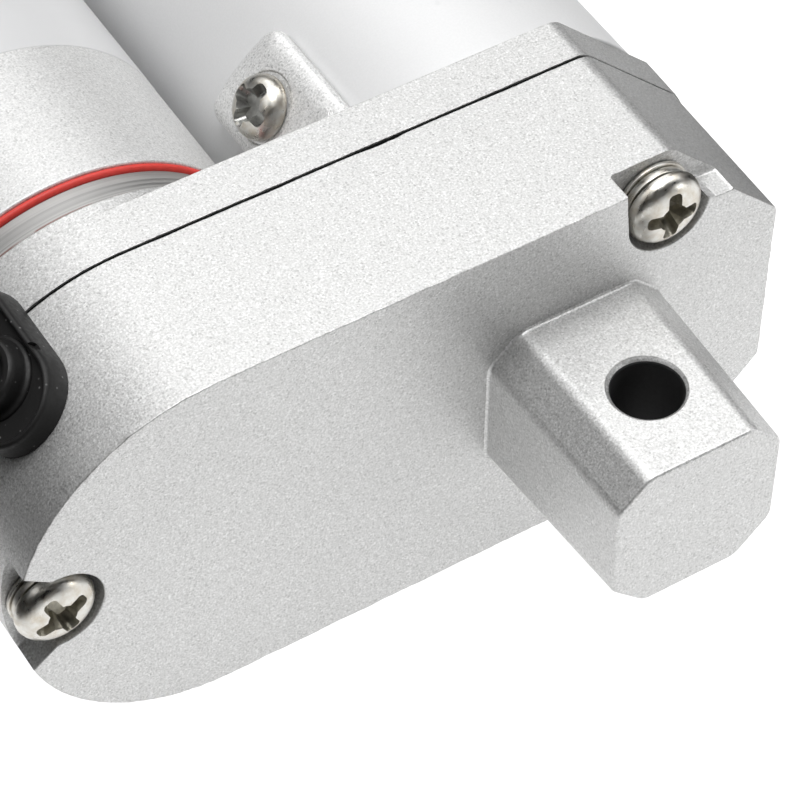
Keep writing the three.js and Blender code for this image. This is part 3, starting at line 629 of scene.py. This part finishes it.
def cutter(name, points, mouth, floor, r_mouth, r_floor, n=5, deep=2.0):
    """A pocket cutter along Y: points is its outline in (x, z), rounded out at the mouth and in at the floor."""
    loops = [[(x, mouth - deep, z) for x, z in offset(points, r_mouth)]]
    for i in range(n + 1):
        a = math.pi / 2 * i / n
        loops.append([(x, mouth + r_mouth * (1 - math.cos(a)), z) for x, z in offset(points, r_mouth * (1 - math.sin(a)))])
    for i in range(n + 1):
        a = math.pi / 2 * i / n
        loops.append([(x, floor - r_floor * (1 - math.sin(a)), z) for x, z in offset(points, -r_floor * (1 - math.cos(a)))])
    return loft(name, loops)


def pocket_points(k):
    """The pocket round each cover screw: an arc round the screw that opens to the side of the housing."""
    cx, cz = SCREWS[k]
    if k < 2:
        s = 1 if k == 0 else -1
        r = 4.2
        pts = [(cx + r * math.cos(math.radians(a)), s * (abs(cz) + r * math.sin(math.radians(a)))) for a in range(180, 361, 8)]
        pts += [(14.2, s * 15.06), (16.3, s * 14.95), (18.5, s * 17.0), (22, s * 22), (13, s * 22.6), (4.5, s * 22), (4.8, s * 18.0)]
        radii = [0] * 23 + [0.6, 1.2, 0.6, 0, 0, 0, 1.2]
        pts = fillet(pts, radii[:len(pts)], 5)
        if s < 0:
            pts.reverse()
        return pts
    r = 4.35
    pts = [(cx + r * math.cos(math.radians(a)), cz + r * math.sin(math.radians(a))) for a in range(-96, 97, 8)]
    pts += [(-54.6, 6.1), (-58, 9), (-62, 9), (-62, -9), (-58, -9), (-54.6, -6.1)]
    radii = [0] * 25 + [1.4, 0, 0, 0, 0, 1.4]
    return fillet(pts, radii[:len(pts)], 5)


def octagon(hx, hz, top, bottom, r=0.9, n=4):
    pts = [(hx - top, hz), (hx, hz - top), (hx, -hz + bottom), (hx - bottom, -hz),
           (-hx + bottom, -hz), (-hx, -hz + bottom), (-hx, hz - top), (-hx + top, hz)]
    return fillet(pts[::-1], r, n)


def clevis():
    loops = []
    def section(y, inset=0.0, r=1.7):
        t = y / 19.9
        hx, hz = 8.45 + 0.6 * t - inset, 8.5 + 0.4 * t - inset
        top, bottom = 3.0 + 0.1 * t - 0.586 * inset, 3.6 - 0.5 * t - 0.586 * inset
        return [(x, y, z) for x, z in octagon(hx, hz, top, bottom, r, 7)]
    r = 0.3
    for i in range(5):
        a = math.pi / 2 * i / 4
        loops.append(section(r * (1 - math.cos(a)), r * (1 - math.sin(a))))
    for y in (2, 5, 8, 11, 14, 16.5, 18.4, 19.0):
        loops.append(section(y))
    for y, f in ((19.2, 0.03), (19.3, 0.1), (19.36, 0.2), (19.42, 0.26), (19.9, 0.26)):
        loops.append(section(y, -f))
    c = loft("clevis", loops)
    z = 8.67
    hole = [(0, -12), (4.2, -12), (4.1, -z - 0.42), (3.66, -z), (3.34, -z + 0.22), (3.2, -z + 0.5), (3.2, z - 0.5), (3.34, z - 0.22), (3.66, z), (4.1, z + 0.42), (4.2, 12), (0, 12)]
    h = turned("h", hole, n=96)
    h.data.transform(Matrix.Rotation(math.pi / 2, 4, "X"))
    h.data.transform(Matrix.Translation((0, 8.46, 0)))
    return cut(c, h)


def gland_matrix(y):
    """Local (u, outward, along) to the row: u runs round the housing, along is the row's Y."""
    return radial_matrix(131.0, MOTOR_X, y)


def rear_cover():
    body = drafted(solid_between("rear_cover_shell", lambda i: rim(i), 19.4, 35.98, 0.13, 0.05, 0.1, 0.06,
                                 chips=((-10.4, 1, 0.14, 1.6), (-8.6, 1, 0.1, 0.5), (-21.0, 1, 0.05, 2.0), (3.6, 1, 0.06, 2.4), (-31.0, 1, 0.05, 1.2))))
    for k in range(3):
        cut(body, cutter(f"p{k}", pocket_points(k), 19.4, 22.4, 0.16, 0.35))
        x, z = SCREWS[k]
        cut(body, cyl_y("s", 2.3, 21, 37, x, z, 40))
    cavity = drafted(prism("cavity", outline(2.6), 24.4, 37))
    for (x, z), r in zip(SCREWS, (3.3, 3.3, 3.6)):
        cut(cavity, cyl_y("boss", r, 24, 38, x, z, 40))
    cut(cavity, turned("seat", [(9.65, 24), (11.6, 24), (11.6, 26.9), (9.65, 26.9)], TUBE_X, 0, 64))
    cut(body, cavity, cyl_y("b", 9.65, 21.9, 25, TUBE_X, 0, 64), cyl_y("a", 2.7, 22, 25, IDLER_X, 0, 32))
    g = turned("g", [(0, 12), (3.25, 12), (3.25, 25), (0, 25)], n=40)
    g.data.transform(gland_matrix(32.1))
    outward(g)
    cut(body, g)
    join(body, clevis())
    return body


def strip_bend(ob, radius, angle, cx, step=0.8):
    """Takes a flat part in (s, y, d), s round the tube and d its distance from the axis, and wraps it round the tube at x = cx."""
    bm = bmesh.new()
    bm.from_mesh(ob.data)
    lo = min(v.co.x for v in bm.verts)
    hi = max(v.co.x for v in bm.verts)
    s = lo + step
    while s < hi - 0.05:
        bmesh.ops.bisect_plane(bm, geom=bm.verts[:] + bm.edges[:] + bm.faces[:], plane_co=(s, 0, 0), plane_no=(1, 0, 0), dist=1e-5)
        s += step
    for v in bm.verts:
        a = math.radians(angle) - v.co.x / radius
        v.co = (cx + v.co.z * math.cos(a), v.co.y, v.co.z * math.sin(a))
    bm.to_mesh(ob.data)
    bm.free()
    outward(ob)
    return ob


def lug(sign):
    """The curved plate that holds the tube, soft-edged as cast, with its screw seat; sign picks the upper or the lower one."""
    w = 5.5
    def shape(i):
        pts = [(-w + i, 40.2), (w - i, 40.2), (w - i, 57.1 - i), (-w + i, 58.3 - i)]
        return fillet(pts, [0, 0, max(1.7 - i, 0.3), max(1.6 - i, 0.3)], 10)
    counts = counts_for(shape(0), 0.7)
    loops = [[(s, y, 19.62) for s, y in dense(shape(0), counts)]]
    for inset, d in ((0.0, 20.35), (0.05, 20.6), (0.16, 20.82), (0.34, 21.0), (0.6, 21.14), (0.95, 21.26), (1.4, 21.37), (1.95, 21.45)):
        loops.append([(s, y, d) for s, y in dense(shape(inset), counts)])
    plate = loft("lug", loops)
    seat = turned("seat", [(0, 19.0), (1.75, 19.0), (1.75, 21.3), (3.25, 21.3), (3.4, 21.45), (3.4, 23), (0, 23)], n=56)
    seat.data.transform(Matrix(((1, 0, 0, -0.27), (0, 0, 1, 51.6), (0, 1, 0, 0), (0, 0, 0, 1))))
    outward(seat)
    cut(plate, seat)
    strip_bend(plate, 20.6, 143.25, TUBE_X)
    if sign < 0:
        transform(plate, Matrix.Scale(-1, 4, (0, 0, 1)))
    return plate


def front_housing():
    body = drafted(solid_between("front_housing_shell", lambda i: rim(i, True), 36.3, 41.2, 0.05, 0.08, 0.05, 0.0, 5))
    # hollow behind, the motor's round collar, and the spigot inside the tube
    recess = drafted(prism("recess", outline(2.6), 34, 38.7))
    for (x, z), r in zip(SCREWS, (3.3, 3.3, 3.6)):
        cut(recess, cyl_y("boss", r, 33, 40, x, z, 40))
    cut(body, recess)
    join(body, turned("collar", fillet([(16.0, 40.6), (19.97, 40.6), (19.97, 42.65), (16.0, 42.65)], [0, 0, 0.22, 0.1], 5), MOTOR_X, 0, 176))
    join(body, turned("spigot", fillet([(9.0, 40.6), (17.0, 40.6), (17.0, 49.5), (9.0, 49.5)], [0, 0, 0.5, 0], 5), TUBE_X, 0, 112))
    cut(body, cyl_y("bore", 11.3, 41.9, 52, TUBE_X, 0, 72), cyl_y("bore2", 5.2, 34, 52, TUBE_X, 0, 48),
        cyl_y("seat", 16.4, 40.0, 44.5, MOTOR_X, 0, 96),
        cyl_y("shaft", 6.6, 34, 52, MOTOR_X, 0, 48), cyl_y("axle", 2.7, 34, 40.3, IDLER_X, 0, 32))
    for s in (1, -1):
        join(body, lug(s))
    pip = turned("pip", fillet([(0, 20.8), (0.95, 20.8), (0.95, 21.72), (0, 21.72)], [0, 0, 0.1, 0], 3), n=40)
    pip.data.transform(radial_matrix(134, TUBE_X, 45.25))
    outward(pip)
    join(body, pip)
    for k, (x, z) in enumerate(SCREWS):
        cut(body, cyl_y("s", 1.75, 34, 40.4, x, z, 32))
    return body


def pan_head(r, h, under, n=96):
    """Lathe profile, in (radius, y), of a pan head whose underside is at y = under and whose top is at under - h."""
    prof = [(0, under - h)]
    for i in range(1, 13):
        a = math.radians(8 + 74 * i / 12)
        prof.append((r * 0.985 * math.sin(a) ** 0.82, under - h + (h * 0.78) * (1 - math.cos(a)) ** 1.08))
    prof += [(r, under - 0.42 * h * 0.5), (r - 0.02, under - 0.12), (r - 0.16, under)]
    return prof


def phillips(width, reach, depth, top):
    """A cross recess: four tapering wings with rounded ends, pointing along +Y from y = top."""
    wings = []
    for k in range(2):
        loops = []
        for t, (w, l) in enumerate([(width * 1.06, reach), (width, reach * 0.97), (width * 0.86, reach * 0.80), (width * 0.72, reach * 0.60)]):
            y = top - 1.2 if t == 0 else top + depth * (0.02, 0.55, 1.0)[t - 1]
            shape = fillet([(-l, -w / 2), (l, -w / 2), (l, w / 2), (-l, w / 2)], w * 0.36, 5)
            c, s = math.cos(math.pi / 2 * k), math.sin(math.pi / 2 * k)
            loops.append([(x * c - z * s, y, x * s + z * c) for x, z in shape])
        wings.append(loft("wing", loops))
    core = turned("core", [(0, top - 1.2), (width * 1.0, top - 1.2), (width * 0.98, top + depth * 0.1), (width * 0.5, top + depth * 1.0), (0, top + depth * 1.15)], n=32)
    a = join(wings[0], wings[1], core)
    return a


def pan_screw(name, r, h, under, shank, length, width, reach, turn, lean=0.0):
    """A pan-head screw along +Y: head towards -Y, threaded shank into the housing."""
    prof = pan_head(r, h, under)
    prof += [(shank + 0.35, under), (shank, under + 0.3), (shank, under + 1.6)]
    y, pitch = under + 1.6, 0.7
    while y + pitch < under + length - 0.6:
        prof += [(shank, y), (shank - 0.28, y + pitch * 0.42), (shank - 0.28, y + pitch * 0.58)]
        y += pitch
    prof += [(shank, y), (shank - 0.5, under + length), (0, under + length)]
    s = turned(name, prof, n=88)
    c = phillips(width, reach, 1.75 if r > 3.5 else 1.35, under - h)
    c.data.transform(Matrix.Rotation(math.radians(turn), 4, "Y"))
    cut(s, c)
    clean(s, 0.004)
    # the faces sunk inside the cross recess are marked for the darker second material: painted shade in the recess
    dome = pan_head(r, h, under)
    def below(c):
        d = math.hypot(c.x, c.z)
        if d > reach * 1.06 or c.y > under:
            return False
        for (r0, y0), (r1, y1) in zip(dome, dome[1:]):
            if r0 <= d <= r1:
                return c.y > y0 + (y1 - y0) * (d - r0) / (r1 - r0) + 0.12
        return False
    return mark(s, below)


def washer(name, r0, r1, y0, y1, turn):
    """A split spring washer: one turn, its two ends a little apart and out of line."""
    loops, n = [], 84
    h = y1 - y0
    for i in range(n + 1):
        t = i / n
        a = math.radians(turn + 5 + 350 * t)
        lift = 0.16 * (t - 0.5)
        sec = fillet([(r0, y0 + 0.08), (r1 - 0.12, y0 + 0.08), (r1 - 0.12, y0 + 0.86 * h * 0.72), (r0, y0 + 0.86 * h * 0.72)], 0.12, 3)
        loops.append([(q[0] * math.cos(a), q[1] + lift * 0.5, q[0] * math.sin(a)) for q in sec])
    split = loft(name, loops)
    flat = turned("flat", fillet([(r0, y1 - 0.42), (r1 + 0.08, y1 - 0.42), (r1 + 0.08, y1), (r0, y1)], 0.1, 3), n=84)
    return join(split, flat)


def obround(l, w, n=28):
    """Long axis along the second coordinate."""
    return ([(w * math.cos(math.radians(a)), l - w + w * math.sin(math.radians(a))) for a in [180 * i / n for i in range(n + 1)]] +
            [(w * math.cos(math.radians(a)), -(l - w) + w * math.sin(math.radians(a))) for a in [180 + 180 * i / n for i in range(n + 1)]])


def gland():
    """Moulded rubber cable gland: an oval plug with upright walls, a deep groove, and a tapering sleeve round its blind bore."""
    L, W = GLAND_L, GLAND_W
    shape = obround(L, W)
    shape = dense(shape, counts_for(shape, 0.5))
    def at(d, inset):
        return [(s, d, y + GLAND_Y - 32.1) for s, y in (offset(shape, -inset) if inset else shape)]
    loops = [at(15.5, 0.0), at(19.0, 0.0), at(20.3, 0.0), at(21.0, 0.04), at(21.6, 0.09), at(21.88, 0.12),
             at(22.04, 0.17), at(22.17, 0.26), at(22.25, 0.37), at(22.28, 0.47), at(22.27, 0.56), at(22.22, 0.64), at(22.1, 0.71),
             at(21.9, 0.75), at(21.6, 0.8), at(21.46, 0.86), at(21.42, 0.96), at(21.42, 1.4)]
    flange = loft("gland", loops)
    hug = turned("hug", [(0, 10), (20.06, 10), (20.06, 60), (0, 60)], MOTOR_X, 0, 160)
    inv = gland_matrix(32.1).inverted()
    hug.data.transform(inv)
    outward(hug)
    cut(flange, hug)
    sleeve = turned("sleeve", [(0, 16.2), (2.7, 16.2), (2.9, 16.5), (2.9, 20.3), (3.8, 20.4), (3.8, 21.5), (3.76, 21.62), (3.66, 21.72), (3.5, 21.8), (3.42, 21.92),
                               (3.38, 22.1), (3.24, 22.9), (3.18, 23.2), (3.08, 23.4), (2.92, 23.5), (2.5, 23.5), (2.34, 23.46), (2.22, 23.36), (2.1, 23.15), (2.05, 22.4), (2.0, 18.4), (1.8, 18.2), (0, 18.2)], n=112)
    join(flange, sleeve)
    # a small nick in the rim
    nick = loft("nick", [[(-4.5, 21.5, -0.8), (-5.3, 21.5, -0.9), (-5.3, 21.5, -1.8), (-4.6, 21.5, -1.5)],
                         [(-4.3, 23.0, -0.5), (-5.8, 23.0, -0.6), (-5.8, 23.0, -2.1), (-4.4, 23.0, -1.8)]])
    cut(flange, nick)
    flange.data.transform(gland_matrix(32.1))
    outward(flange)
    return flange


def tube(name, r0, r1, y0, y1, x, soft, n=192, grooves=()):
    """A tube whose rims are rounded by soft."""
    outer = [(r1, y0), (r1, y1)]
    prof = fillet([(r0, y0), (r1, y0), (r1, y1), (r0, y1)], [soft * 0.6, soft, soft, soft * 0.6], 5)
    out = []
    for i, p in enumerate(prof):
        q = prof[(i + 1) % len(prof)]
        out.append(p)
        m = max(1, int(math.dist(p, q) / 12))
        out += [(p[0] + (q[0] - p[0]) * k / m, p[1] + (q[1] - p[1]) * k / m) for k in range(1, m)]
    return turned(name, out, x, 0, n)


def hole_through(ob, angle, y, r, x=TUBE_X, d0=14, d1=24, n=32):
    h = turned("h", [(0, d0), (r, d0), (r, d1), (0, d1)], n=n)
    h.data.transform(radial_matrix(angle, x, y))
    outward(h)
    return cut(ob, h)


def make_object():
    # housing
    # the inner wall of the clevis bore gets the near-black second material: painted shade in the hole
    cover = mark(rear_cover(), lambda c: math.hypot(c.x, c.y - 8.46) < 3.3 and abs(c.z) < 8.35)
    piece(cover, "housing", PAINT, "cast_silver", "rear_cover", second=BORE_PAINTED_SHADE)
    fh = front_housing()
    # the lug faces take the lighter copy of the cast paint as their second material: painted light on the lug
    mark(fh, lambda c: c.y > 43.2 and math.hypot(c.x - TUBE_X, c.z) > 20.3)
    piece(fh, "housing", PAINT, "cast_silver", "front_housing", second=LUG_PAINTED_LIGHT)
    g = drafted(solid_between("housing_gasket_line", lambda i: rim(i + 0.16), 36.0, 36.28, 0.03, 0.03, 0.0, 0.0, 2))
    cut(g, drafted(prism("gi", outline(2.4), 35, 37)))
    piece(g, "housing", GASKET, "black_rubber", "housing_gasket")
    turns = (4, 52, 65)
    for k, (x, z) in enumerate(SCREWS):
        s = pan_screw(f"cover_screw_head_{k + 1}", 3.76, 2.0, 20.7, 1.95, 17.7, 1.42, 2.8, turns[k])
        s.data.transform(Matrix.Translation((x, 0, z)))
        piece(s, "housing", SCREW, "bright_screw", f"cover_screw_{k + 1}", second=SCREW_CROSS_PAINTED_SHADE)
        w = washer(f"spring_washer_{k + 1}", 2.25, 3.5, 20.95, 22.3, 200 + 70 * k)
        w.data.transform(Matrix.Translation((x, 0, z)))
        piece(w, "housing", SCREW, "bright_screw", f"lock_washer_{k + 1}")
    for k, a in enumerate((144.0, -144.0)):
        s = pan_screw(f"lug_screw_{k + 1}", 3.1, 2.15, 0.0, 1.5, 4.6, 1.55, 2.75, 8)
        s.data.transform(Matrix.Rotation(math.pi, 4, "X") @ Matrix.Identity(4))
        s.data.transform(Matrix.Translation((0, 21.4, 0)))
        s.data.transform(radial_matrix(a, TUBE_X, 51.6))
        outward(s)
        piece(s, "housing", SCREW, "bright_screw", f"tube_screw_{k + 1}", second=TUBE_SCREW_CROSS_PAINTED_SHADE)
    piece(gland(), "housing", RUBBER, "black_rubber", "cable_gland")

    # outer tube, front cap and seals
    t = tube("outer_tube_skin", 17.35, 19.35, 41.26, 184.7, TUBE_X, 0.25)
    for a in (144, -144):
        hole_through(t, a, 51.6, 1.75)
    piece(t, "housing", TUBE, "satin_silver", "outer_tube")
    cap = turned("front_cap_body", fillet([(11.6, 177.5), (17.05, 177.5), (17.05, 185.02), (20.0, 185.02), (20.0, 195.0), (12.8, 195.0), (12.8, 191.0), (11.6, 191.0)],
                                          [0.2, 0.4, 0.1, 0.5, 1.3, 0.5, 0.15, 0.15], 7), TUBE_X, 0, 192)
    piece(cap, "housing", PAINT, "cast_silver", "front_cap")
    for k, a in enumerate((90, 210, 330)):
        s = turned(f"cap_set_screw_{k + 1}", fillet([(0, 15.2), (1.2, 15.2), (1.2, 18.55), (1.6, 18.85), (1.6, 19.55), (0, 19.55)], [0, 0.1, 0.05, 0.05, 0.12, 0], 3), n=48)
        h = loft("hex", [[(0.78 * math.cos(math.radians(60 * i)), d, 0.78 * math.sin(math.radians(60 * i))) for i in range(6)] for d in (18.6, 20.5)])
        cut(s, h)
        s.data.transform(radial_matrix(a, TUBE_X, 181.2))
        outward(s)
        piece(s, "housing", MATS["gear_steel"], "bright_screw", f"cap_screw_{k + 1}")
    b = tube("guide_bush_body", 10.22, 11.3, 177.8, 190.7, TUBE_X, 0.2, 96)
    piece(b, "housing", MATS["black_plastic"], "black_plastic", "rod_guide_bush")
    w = turned("wiper_seal_lip", fillet([(10.75, 191.3), (12.5, 191.3), (12.5, 194.6), (11.2, 194.6), (10.15, 194.0), (10.75, 192.6)], [0.2, 0.2, 0.35, 0.2, 0.1, 0.3], 5), TUBE_X, 0, 144)
    piece(w, "housing", RUBBER, "black_rubber", "rod_wiper_seal")

    # rod
    rod = tube("rod_skin", 7.5, 10.0, 66.3, 199.0, TUBE_X, 0.25)
    piece(rod, "rod", ROD, "turned_steel", "rod_tube")
    piece(rod_end(), "rod", TUBE_END, "satin_silver", "rod_end")
    p = turned("rod_end_roll_pin", fillet([(0.55, -9.5), (1.38, -9.5), (1.38, 9.5), (0.55, 9.5)], [0.1, 0.3, 0.3, 0.1], 4), n=40)
    p.data.transform(Matrix.Rotation(math.pi / 2, 4, "Z"))
    p.data.transform(Matrix.Translation((TUBE_X, 196.9, 0)))
    outward(p)
    piece(p, "rod", MATS["gear_steel"], "turned_steel", "rod_end_pin")

    # motor
    ring = turned("motor_ring_turned", fillet([(15.4, 42.7), (18.9, 42.7), (18.9, 46.05), (17.72, 46.05), (17.72, 46.4), (17.5, 50.2), (15.4, 50.2)],
                                              [0.1, 0.12, 0.18, 0.1, 0, 0.2, 0.2], 4), MOTOR_X, 0, 224)
    piece(ring, "housing", RING, "turned_steel", "motor_ring")
    o = turned("motor_oring_red", [(18.78 + 0.5 * math.cos(a), 46.44 + 0.37 * math.sin(a)) for a in [2 * math.pi * i / 24 for i in range(24)]], MOTOR_X, 0, 224)
    piece(o, "housing", MATS["red_rubber"], "red_rubber", "motor_oring")
    # the white wrap is a thin step in the tube's own skin
    prof = fillet([(17.85, 46.83), (19.35, 46.83), (19.35, 63.78), (19.4, 63.83), (19.4, 135.95), (19.35, 136.0), (19.35, 148.0), (17.85, 148.0)],
                  [0.17, 0.28, 0, 0, 0, 0, 0.28, 0.17], 5)
    steps = []
    for i, a in enumerate(prof):
        b = prof[(i + 1) % len(prof)]
        count = max(1, int(math.dist(a, b) / 3))
        steps += [(a[0] + (b[0] - a[0]) * k / count, a[1] + (b[1] - a[1]) * k / count) for k in range(count)]
    m = turned("motor_tube_skin", steps, MOTOR_X, 0, 224)
    mark(m, lambda c: 63.78 < c.y < 136.0 and math.hypot(c.x - MOTOR_X, c.z) > 19.0)
    piece(m, "housing", MOTOR_PAINT, "satin_silver", "motor_tube", second=WRAP)
    c = turned("motor_cap_moulded", fillet([(0, 144), (17.5, 144), (17.5, 148.3), (19.35, 148.3), (19.35, 151.0), (15.2, 151.0), (14.6, 150.3), (13.9, 150.3), (13.3, 151.0), (0, 151.0)],
                                          [0, 0.3, 0.1, 0.2, 0.8, 0.2, 0.2, 0.2, 0.2, 0], 5), MOTOR_X, 0, 176)
    piece(c, "housing", MATS["black_plastic"], "black_plastic", "motor_tube_cap")


def rod_end():
    """Round end with two flats and a cross hole."""
    prof = fillet([(0, 187.5), (7.2, 187.5), (7.2, 199.3), (10.0, 199.3), (10.0, 223.0), (0, 223.0)], [0, 0.5, 0.1, 0.3, 1.0, 0], 6)
    e = turned("rod_end_body", prof, TUBE_X, 0, 192)
    for s in (1, -1):
        pts = fillet([(203.5, 9.0), (224.0, 9.0), (224.0, 12.0), (201.9, 12.0), (203.1, 9.6)], [0.4, 0, 0, 0, 0], 5)
        b = loft("flat", [[(x, y, s * z) for y, z in pts] for x in (TUBE_X - 12, TUBE_X + 12)])
        cut(e, b)
    hole = [(0, -12), (3.9, -12), (3.9, -9.35), (3.55, -9.0), (3.3, -8.7), (3.2, -8.45), (3.2, 8.45), (3.3, 8.7), (3.55, 9.0), (3.9, 9.35), (3.9, 12), (0, 12)]
    h = turned("h", hole, n=96)
    h.data.transform(Matrix.Rotation(math.pi / 2, 4, "X"))
    h.data.transform(Matrix.Translation((TUBE_X, 213.5, 0)))
    outward(h)
    cut(e, h)
    return e


make_object()

# ------------------------------------------------------------------ studio
def area(name, loc, target, size, power, size_y=None, color=(1, 1, 1)):
    l = bpy.data.lights.new(name, "AREA")
    l.shape = "RECTANGLE" if size_y else "SQUARE"
    l.size = size
    if size_y:
        l.size_y = size_y
    l.energy, l.color = power, color
    o = bpy.data.objects.new(name, l)
    bpy.context.scene.collection.objects.link(o)
    o.location = loc
    d = (Vector(target) - Vector(loc)).normalized()
    o.rotation_euler = d.to_track_quat("-Z", "Y").to_euler()
    return o


def far_light(name, direction, size, power):
    """A square softbox one metre from the object, facing it."""
    t = Vector((-0.01, 0.03, 0))
    return area(name, t + Vector(direction).normalized(), t, size, power)


world = bpy.data.worlds.new("studio")
bpy.context.scene.world = world
world.use_nodes = True
bg = world.node_tree.nodes["Background"]
bg.inputs["Color"].default_value = (1, 1, 1, 1)
bg.inputs["Strength"].default_value = 0.0
for name, direction, size, power in (
        ("top", (0, 0, 1), 0.6, 8.353), ("top_back", (0.35, 0.55, 0.76), 0.5, 1.477), ("back_left", (-0.65, 0.65, 0.4), 0.5, 0.3),
        ("front_right", (0.7, -0.7, 0.2), 0.3, 1.3), ("top_left", (-0.6, 0.1, 0.8), 0.5, 1.436),
        ("top_right", (0.62, 0.0, 0.78), 0.5, 2.897), ("back_high", (0, 0.75, 0.65), 0.5, 1.214)):
    far_light(name, direction, size, power)

# black cards stand out of the picture, to the left and behind on the right, so that the sides fall off
card_mat = Mat("black_card", (0.02, 0.02, 0.02), 0.95, spec=0.1)
card_mat.rough(card_mat.ramp(card_mat.noise(40, 2, 0.5), 0.3, 0.7, 0.9, 1.0))
for name, (x0, y0), (x1, y1), top in (("left_card", (-0.081, -0.08), (-0.081, 0.16), 0.032),
                                      ("right_card", (0.0335, 0.020), (0.126, 0.148), 0.03)):
    me = bpy.data.meshes.new(name)
    foot = -0.0209 if x0 > 0 else -0.013
    me.from_pydata([(x0, y0, foot), (x1, y1, foot), (x1, y1, top), (x0, y0, top)], [], [(0, 1, 2, 3)])
    card = bpy.data.objects.new(name, me)
    bpy.context.scene.collection.objects.link(card)
    card.data.materials.append(card_mat.m)
    card.visible_camera = False      # it only holds light back, so it never stands in front of the object in another view

floor_mat = Mat("backdrop", (0.3, 0.3, 0.3), 1.0, spec=0.0)
paper = floor_mat.noise(3, 2, 0.5)
floor_mat.color(floor_mat.mix(floor_mat.ramp(paper, 0.3, 0.7), (0.3, 0.3, 0.3), (0.31, 0.31, 0.31)))
floor_mat.b.inputs["Emission Color"].default_value = (1, 1, 1, 1)
floor_mat.b.inputs["Emission Strength"].default_value = 1.0
me = bpy.data.meshes.new("floor")
me.from_pydata([(-3, -3, 0), (3, -3, 0), (3, 3, 0), (-3, 3, 0)], [], [(0, 1, 2, 3)])
floor = bpy.data.objects.new("floor", me)
floor.location = (0, 0, -0.021)
bpy.context.scene.collection.objects.link(floor)
floor.data.materials.append(floor_mat.m)

bpy.context.scene.view_settings.view_transform = "Standard"
bpy.context.scene.view_settings.look = "None"
